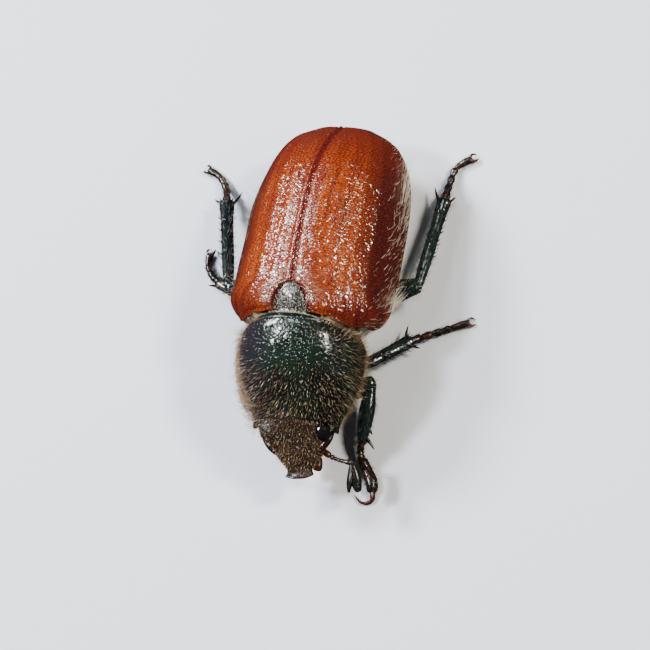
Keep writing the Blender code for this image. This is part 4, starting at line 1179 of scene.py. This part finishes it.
class CHAFER_OT_shell_hairs(bpy.types.Operator):
    """Plants the fine hairs of the wing cases and the fringe of their outer edge"""

    bl_idname = "chafer.shell_hairs"
    bl_label = "Wing case hairs"

    def execute(self, context):
        length = sizes().shell_hair / MM
        batches = []
        for number, (side, sign) in enumerate(SIDES):
            surface = SKINS[f"shell_{side}"]
            way = (sign * 0.8, 1.0, -0.2)
            batches.append(hairs(surface, 0.24, 10 + number, way, length, 0.004, (40, 8), 0.3,
                                 keep=lambda p, u, v: eased(u, 0.58, 0.78) * eased(u, 0.99, 0.97)))
            batches.append(hairs(surface, 0.085, 20 + number, (sign, 0.5, -0.6), 0.3, 0.0045, (10, -30), 0.3,
                                 keep=lambda p, u, v: (u > 0.965) * (p[:, 1] < 4.6) * 1.0))
            batches.append(hairs(surface, 0.1, 30 + number, (sign, 0.9, 0), 0.1, 0.0042, (35, 10), 0.3,
                                 keep=lambda p, u, v: eased(np.hypot(p[:, 0] / 1.1, (p[:, 1] + 0.4) / 1.2), 1.0, 0.6)))
        stands_for(coat("shell_hairs", batches, finish_named("pale_hair")), "wing_case")
        return {"FINISHED"}


def clear_of_legs(batch):
    """The hairs of a batch without those that would lie over a leg."""
    spine = batch["spine"]
    kept = np.ones(len(spine), bool)
    for plan in LEGS.values():
        for start, end in ((plan["hip"], plan["knee"]), (plan["knee"], plan["ankle"])):
            start, way = np.array(start), np.array(end) - start
            share = np.clip((spine - start)[..., :2] @ way[:2] / (way[:2] @ way[:2]), 0, 1)
            offset = spine - start - share[..., None] * way
            over = (np.linalg.norm(offset[..., :2], axis=-1) < HAIR_CLEARANCE) & (offset[..., 2] > 0)
            kept &= ~over.any(axis=1)
    return {key: value if key == "radius" else value[kept] for key, value in batch.items()}


def clear_of_eyes(points):
    """0 on the eyes and on the bare rims round them, 1 elsewhere."""
    eyes = [head_point(EYE_PLACE[0], sign * EYE_PLACE[1], EYE_PLACE[2]) for _, sign in SIDES]
    clear = [(np.linalg.norm(points - eye, axis=1) > EYE_RADIUS + 0.05) | ((brow > 0) & (points[:, 2] > eye[2] + 0.14))
             for eye, brow in zip(eyes, EYE_BROWS)]
    return np.all(clear, axis=0) * 1.0


def collar_lie(points, u, v):
    """Hairs of the pronotum lean outwards and forwards, and backwards near its hind edge."""
    outward = np.stack((points[:, 0], np.zeros(len(points)), np.zeros(len(points))), axis=-1) / 2.2
    ahead = np.where(points[:, 1] < -1.7, -0.8, 0.9)
    return outward + np.stack((np.zeros(len(points)), ahead, np.zeros(len(points))), axis=-1)


class CHAFER_OT_front_hairs(bpy.types.Operator):
    """Plants the golden hairs of the pronotum, the scutellum and the head"""

    bl_idname = "chafer.front_hairs"
    bl_label = "Hairs of pronotum and head"

    def execute(self, context):
        length = sizes().collar_hair / MM
        collar, head = SKINS["collar"], SKINS["head"]

        def upper(p, u, v):
            """Densest in front and at the sides, bare on the middle of the disc behind."""
            front = eased(p[:, 1], -2.4, -3.6)
            side = eased(np.abs(p[:, 0]), 1.35, 2.05)
            return np.where((v > 0.05) & (v < 0.955), 0.03 + 0.97 * np.maximum(front, side), 0.0)

        def hair_length(p, u, v):
            low = eased(p[:, 2], 3.0, 2.2) * np.where(p[:, 0] > 0, 0.0, 1.2)
            return length * (0.7 + 0.35 * eased(np.abs(p[:, 0]), 1.5, 2.1) + low)

        ahead = head_axes()[2]

        def hind_corners(p, u, v):
            return (v > 0.03) * (v < 0.11) * (np.abs(u - 0.5) > 0.11) * (np.abs(u - 0.5) < 0.25) * 1.0

        batches = [hairs(collar, 0.09, 40, collar_lie, hair_length, 0.0045, (82, 52), 0.7, keep=upper),
                   hairs(head, 0.07, 42, ahead, 0.12, 0.0052, (80, 40), 1.0,
                         keep=lambda p, u, v: clear_of_eyes(p) * (v < 0.88) * (u > 0.1) * (u < 0.9)),
                   hairs(collar, 0.05, 43, collar_lie, 0.3, 0.006, (60, 20), 0.5, keep=hind_corners),
                   hairs(collar, 0.06, 57, (-1, -0.3, 0), 0.6, 0.006, (30, 5), 0.4, 4,
                         lambda p, u, v: (p[:, 0] < 0) * (np.abs(p[:, 2] - 2.7) < 0.6) * (v > 0.04) * (v < 0.85))]
        stands_for(coat("front_hairs", batches, finish_named("golden_hair")), "pronotum")

        fringe = [hairs(collar, 0.032, 44, BACK, 0.2, 0.006, (12, -14), 0.12,
                        keep=lambda p, u, v: (np.abs(v - 0.05) < 0.012) * (u > 0.27) * (u < 0.73)),
                  hairs(SKINS["scutellum"], 0.1, 46, BACK, 0.12, 0.0048, (30, 8), 0.2,
                        keep=lambda p, u, v: (v > 0.02) * (v < 0.9) * 0.8)]
        stands_for(coat("fringe_hairs", fringe, finish_named("pale_hair")), "pronotum")
        return {"FINISHED"}


class CHAFER_OT_belly_hairs(bpy.types.Operator):
    """Plants the long cream hairs of the underside and the tail"""

    bl_idname = "chafer.belly_hairs"
    bl_label = "Belly hairs"

    def execute(self, context):
        length = sizes().belly_hair / MM

        def outward(points, u, v):
            side = np.sign(points[:, 0]) * eased(np.abs(points[:, 0]), 0.1, 1.8)
            return np.stack((side * 1.1, np.ones(len(points)), np.full(len(points), 0.1)), axis=-1)

        def under(p, u, v):
            return (p[:, 2] < between(SHELL_WIDEST, p[:, 1]) + 0.1) * 1.0

        def shorter_below(p, u, v):
            return length * (0.45 + 0.55 * eased(np.abs(p[:, 0]), 0.6, 1.9)) * (1 - 0.5 * eased(p[:, 1], 4.2, 5.2))

        def below_collar(p, u, v):
            """Long on the beetle's right, short where the left fore leg stands beside the pronotum."""
            return length * np.where(p[:, 0] > 0, 0.3, 0.85)

        trunk = body_surface((THORAX_REACH[0], ABDOMEN_REACH[1]))
        batches = [hairs(trunk, 0.095, 50, outward, shorter_below, 0.008, (50, 12), 0.35, 4, under, VENTRITE_STEP),
                   hairs(SKINS["tail"], 0.075, 54, (0, 0.3, -1), length * 0.6, 0.008, (28, 8), 0.4, 4,
                         lambda p, u, v: (p[:, 1] > 5.2) * (p[:, 2] < 2.9) * 1.0),
                   hairs(SKINS["collar"], 0.075, 56, outward, below_collar, 0.0075, (55, 15), 0.4, 4,
                         lambda p, u, v: (p[:, 2] < np.where(p[:, 0] > 0, 1.9, 2.7)) * (v > 0.06) * (v < 0.94))]
        batches = [clear_of_legs(batch) for batch in batches]
        stands_for(coat("belly_hairs", batches, finish_named("cream_hair")), "underside")

        for number, (side, sign) in enumerate(SIDES):
            def flank(p, u, v):
                low = p[:, 2] < between(SHELL_WIDEST, p[:, 1]) - SHELL_MARGIN_DROP
                return (sign * p[:, 0] > 1.3) * low * eased(p[:, 1], *((4.6, 3.6) if sign > 0 else (3.6, 2.8)))

            skirt = [hairs(trunk, 0.064, 58 + 2 * number, outward, length * 2.1, 0.0048, (12, -8), 0.4, 5, flank,
                           VENTRITE_STEP)]
            skirt = [clear_of_legs(batch) for batch in skirt]
            stands_for(coat(f"flank_hairs_{side}", skirt, finish_named("cream_hair")), "underside")
        return {"FINISHED"}


class CHAFER_OT_leg_hairs(bpy.types.Operator):
    """Plants the bristles and hairs of the legs"""

    bl_idname = "chafer.leg_hairs"
    bl_label = "Leg hairs"

    def execute(self, context):
        pale, dark = [], []
        seed = 60
        for name, plan in LEGS.items():
            thigh = np.array(plan["knee"]) - np.array(plan["hip"])
            shin = np.array(plan["ankle"]) - np.array(plan["knee"])
            toe = np.array(plan["foot"][-1]) - np.array(plan["ankle"])
            pale.append(hairs(SKINS[f"femur_{name}"], 0.16, seed, thigh, 0.34, 0.007, (60, 25), 0.4))
            dark.append(hairs(SKINS[f"tibia_{name}"], 0.13, seed + 2, shin, 0.22, 0.008, (50, 25), 0.3))
            for number in range(5):
                dark.append(hairs(SKINS[f"foot_{name}_{number}"], 0.11, seed + 3 + number, toe, 0.15, 0.007, (55, 30), 0.3))
            seed += 10
        for side, _ in SIDES:
            for number in range(3):
                dark.append(hairs(SKINS[f"leaf_{side}_{number}"], 0.14, seed, (0.2, -1, 0), 0.07, 0.005, (60, 40)))
                seed += 1
        stands_for(coat("leg_hairs_pale", pale, finish_named("pale_hair")), "leg")
        stands_for(coat("leg_hairs_dark", dark, finish_named("dark_hair")), "leg")
        return {"FINISHED"}


def lamp(name, direction, distance, width, power, colour, target):
    """A square soft light that looks at the beetle from a direction."""
    direction = Vector(direction).normalized()
    bpy.ops.object.light_add(type="AREA", location=target + direction * distance * MM)
    light = bpy.context.object
    light.name = name
    light.rotation_euler = direction.to_track_quat("Z", "Y").to_euler()
    light.data.shape = "SQUARE"
    light.data.size = width * MM
    light.data.energy = power
    light.data.color = colour
    return light


class CHAFER_OT_stage(bpy.types.Operator):
    """Sets the pale floor, the soft lights and the camera"""

    bl_idname = "chafer.stage"
    bl_label = "Stage"

    def execute(self, context):
        bpy.ops.object.select_all(action="DESELECT")
        bpy.ops.mesh.primitive_plane_add(size=0.6, location=(0, 0, 0))
        floor = bpy.context.object
        floor.name = "floor"
        paper = Finish("floor_paper")
        tone = paper.noise(paper.millimetres(), 0.02, 2.0)
        paper.set(base_color=paper.blended(tone, (0.45, 0.47, 0.54), (0.47, 0.49, 0.55)), roughness=0.85)
        floor.data.materials.append(paper.material)
        floor.visible_glossy = False

        target = (Vector(HOME) + CAMERA_TARGET) * MM
        lamp("key", (-0.66, 0.34, 0.62), 130, 30, 0.44, (0.99, 0.98, 1.0), target)
        lamp("sun", (0.66, 0.17, 0.68), 140, 18, 0.37, (1.0, 0.91, 0.74), target)
        lamp("top", (-0.5, -0.02, 0.87), 150, 19, 0.36, (0.97, 0.94, 1.0), target)
        lamp("rim", (0.75, -0.1, 0.65), 140, 10, 0.06, (0.9, 1.0, 0.9), target)
        lamp("glint", (-0.22, 0.45, 0.86), 130, 34, 0.07, (0.8, 0.95, 1.0), target)
        world = bpy.data.worlds.new("soft_room")
        world.use_nodes = True
        world.node_tree.nodes["Background"].inputs["Color"].default_value = (0.82, 0.88, 1.0, 1)
        world.node_tree.nodes["Background"].inputs["Strength"].default_value = 0.05
        context.scene.world = world

        away = CAMERA_RIGHT.cross(CAMERA_UP).normalized()
        up = away.cross(CAMERA_RIGHT).normalized()
        turn = Matrix((up.cross(away), up, away)).transposed()
        distance = sizes().camera_distance
        bpy.ops.object.camera_add(location=target + away * distance)
        camera = bpy.context.object
        camera.rotation_euler = turn.to_euler()
        camera.data.sensor_width = SENSOR_WIDTH
        camera.data.lens = SENSOR_WIDTH * distance / (PICTURE_WIDTH * MM)
        camera.data.clip_start = 0.01
        camera.data.clip_end = 5.0
        context.scene.camera = camera
        return {"FINISHED"}


class CHAFER_PT_panel(bpy.types.Panel):
    """Lists the pieces of the beetle"""

    bl_idname = "CHAFER_PT_panel"
    bl_label = "Leaf chafer"
    bl_space_type = "VIEW_3D"
    bl_region_type = "UI"
    bl_category = "Leaf chafer"

    def draw(self, context):
        for group in (context.scene.chafer_colours, context.scene.chafer_sizes):
            for name in group.__annotations__:
                self.layout.prop(group, name)
        for operator in OPERATORS:
            self.layout.operator(operator.bl_idname)


OPERATORS = (CHAFER_OT_finishes, CHAFER_OT_wing_cases, CHAFER_OT_front_body, CHAFER_OT_hind_body, CHAFER_OT_head,
             CHAFER_OT_mouth, CHAFER_OT_feelers, CHAFER_OT_legs, CHAFER_OT_shell_hairs, CHAFER_OT_front_hairs,
             CHAFER_OT_belly_hairs, CHAFER_OT_leg_hairs, CHAFER_OT_stage)
CLASSES = (ChaferColours, ChaferSizes, *OPERATORS, CHAFER_PT_panel)


def register():
    for cls in CLASSES:
        bpy.utils.register_class(cls)
    bpy.types.Scene.chafer_colours = bpy.props.PointerProperty(type=ChaferColours)
    bpy.types.Scene.chafer_sizes = bpy.props.PointerProperty(type=ChaferSizes)


def unregister():
    del bpy.types.Scene.chafer_sizes
    del bpy.types.Scene.chafer_colours
    for cls in reversed(CLASSES):
        bpy.utils.unregister_class(cls)


def main():
    register()
    bpy.ops.chafer.finishes()
    bpy.ops.chafer.wing_cases()
    bpy.ops.chafer.front_body()
    bpy.ops.chafer.hind_body()
    bpy.ops.chafer.head()
    bpy.ops.chafer.mouth()
    bpy.ops.chafer.feelers()
    bpy.ops.chafer.legs()
    bpy.ops.chafer.shell_hairs()
    bpy.ops.chafer.front_hairs()
    bpy.ops.chafer.belly_hairs()
    bpy.ops.chafer.leg_hairs()
    bpy.ops.chafer.stage()


if __name__ == "__main__":
    main()
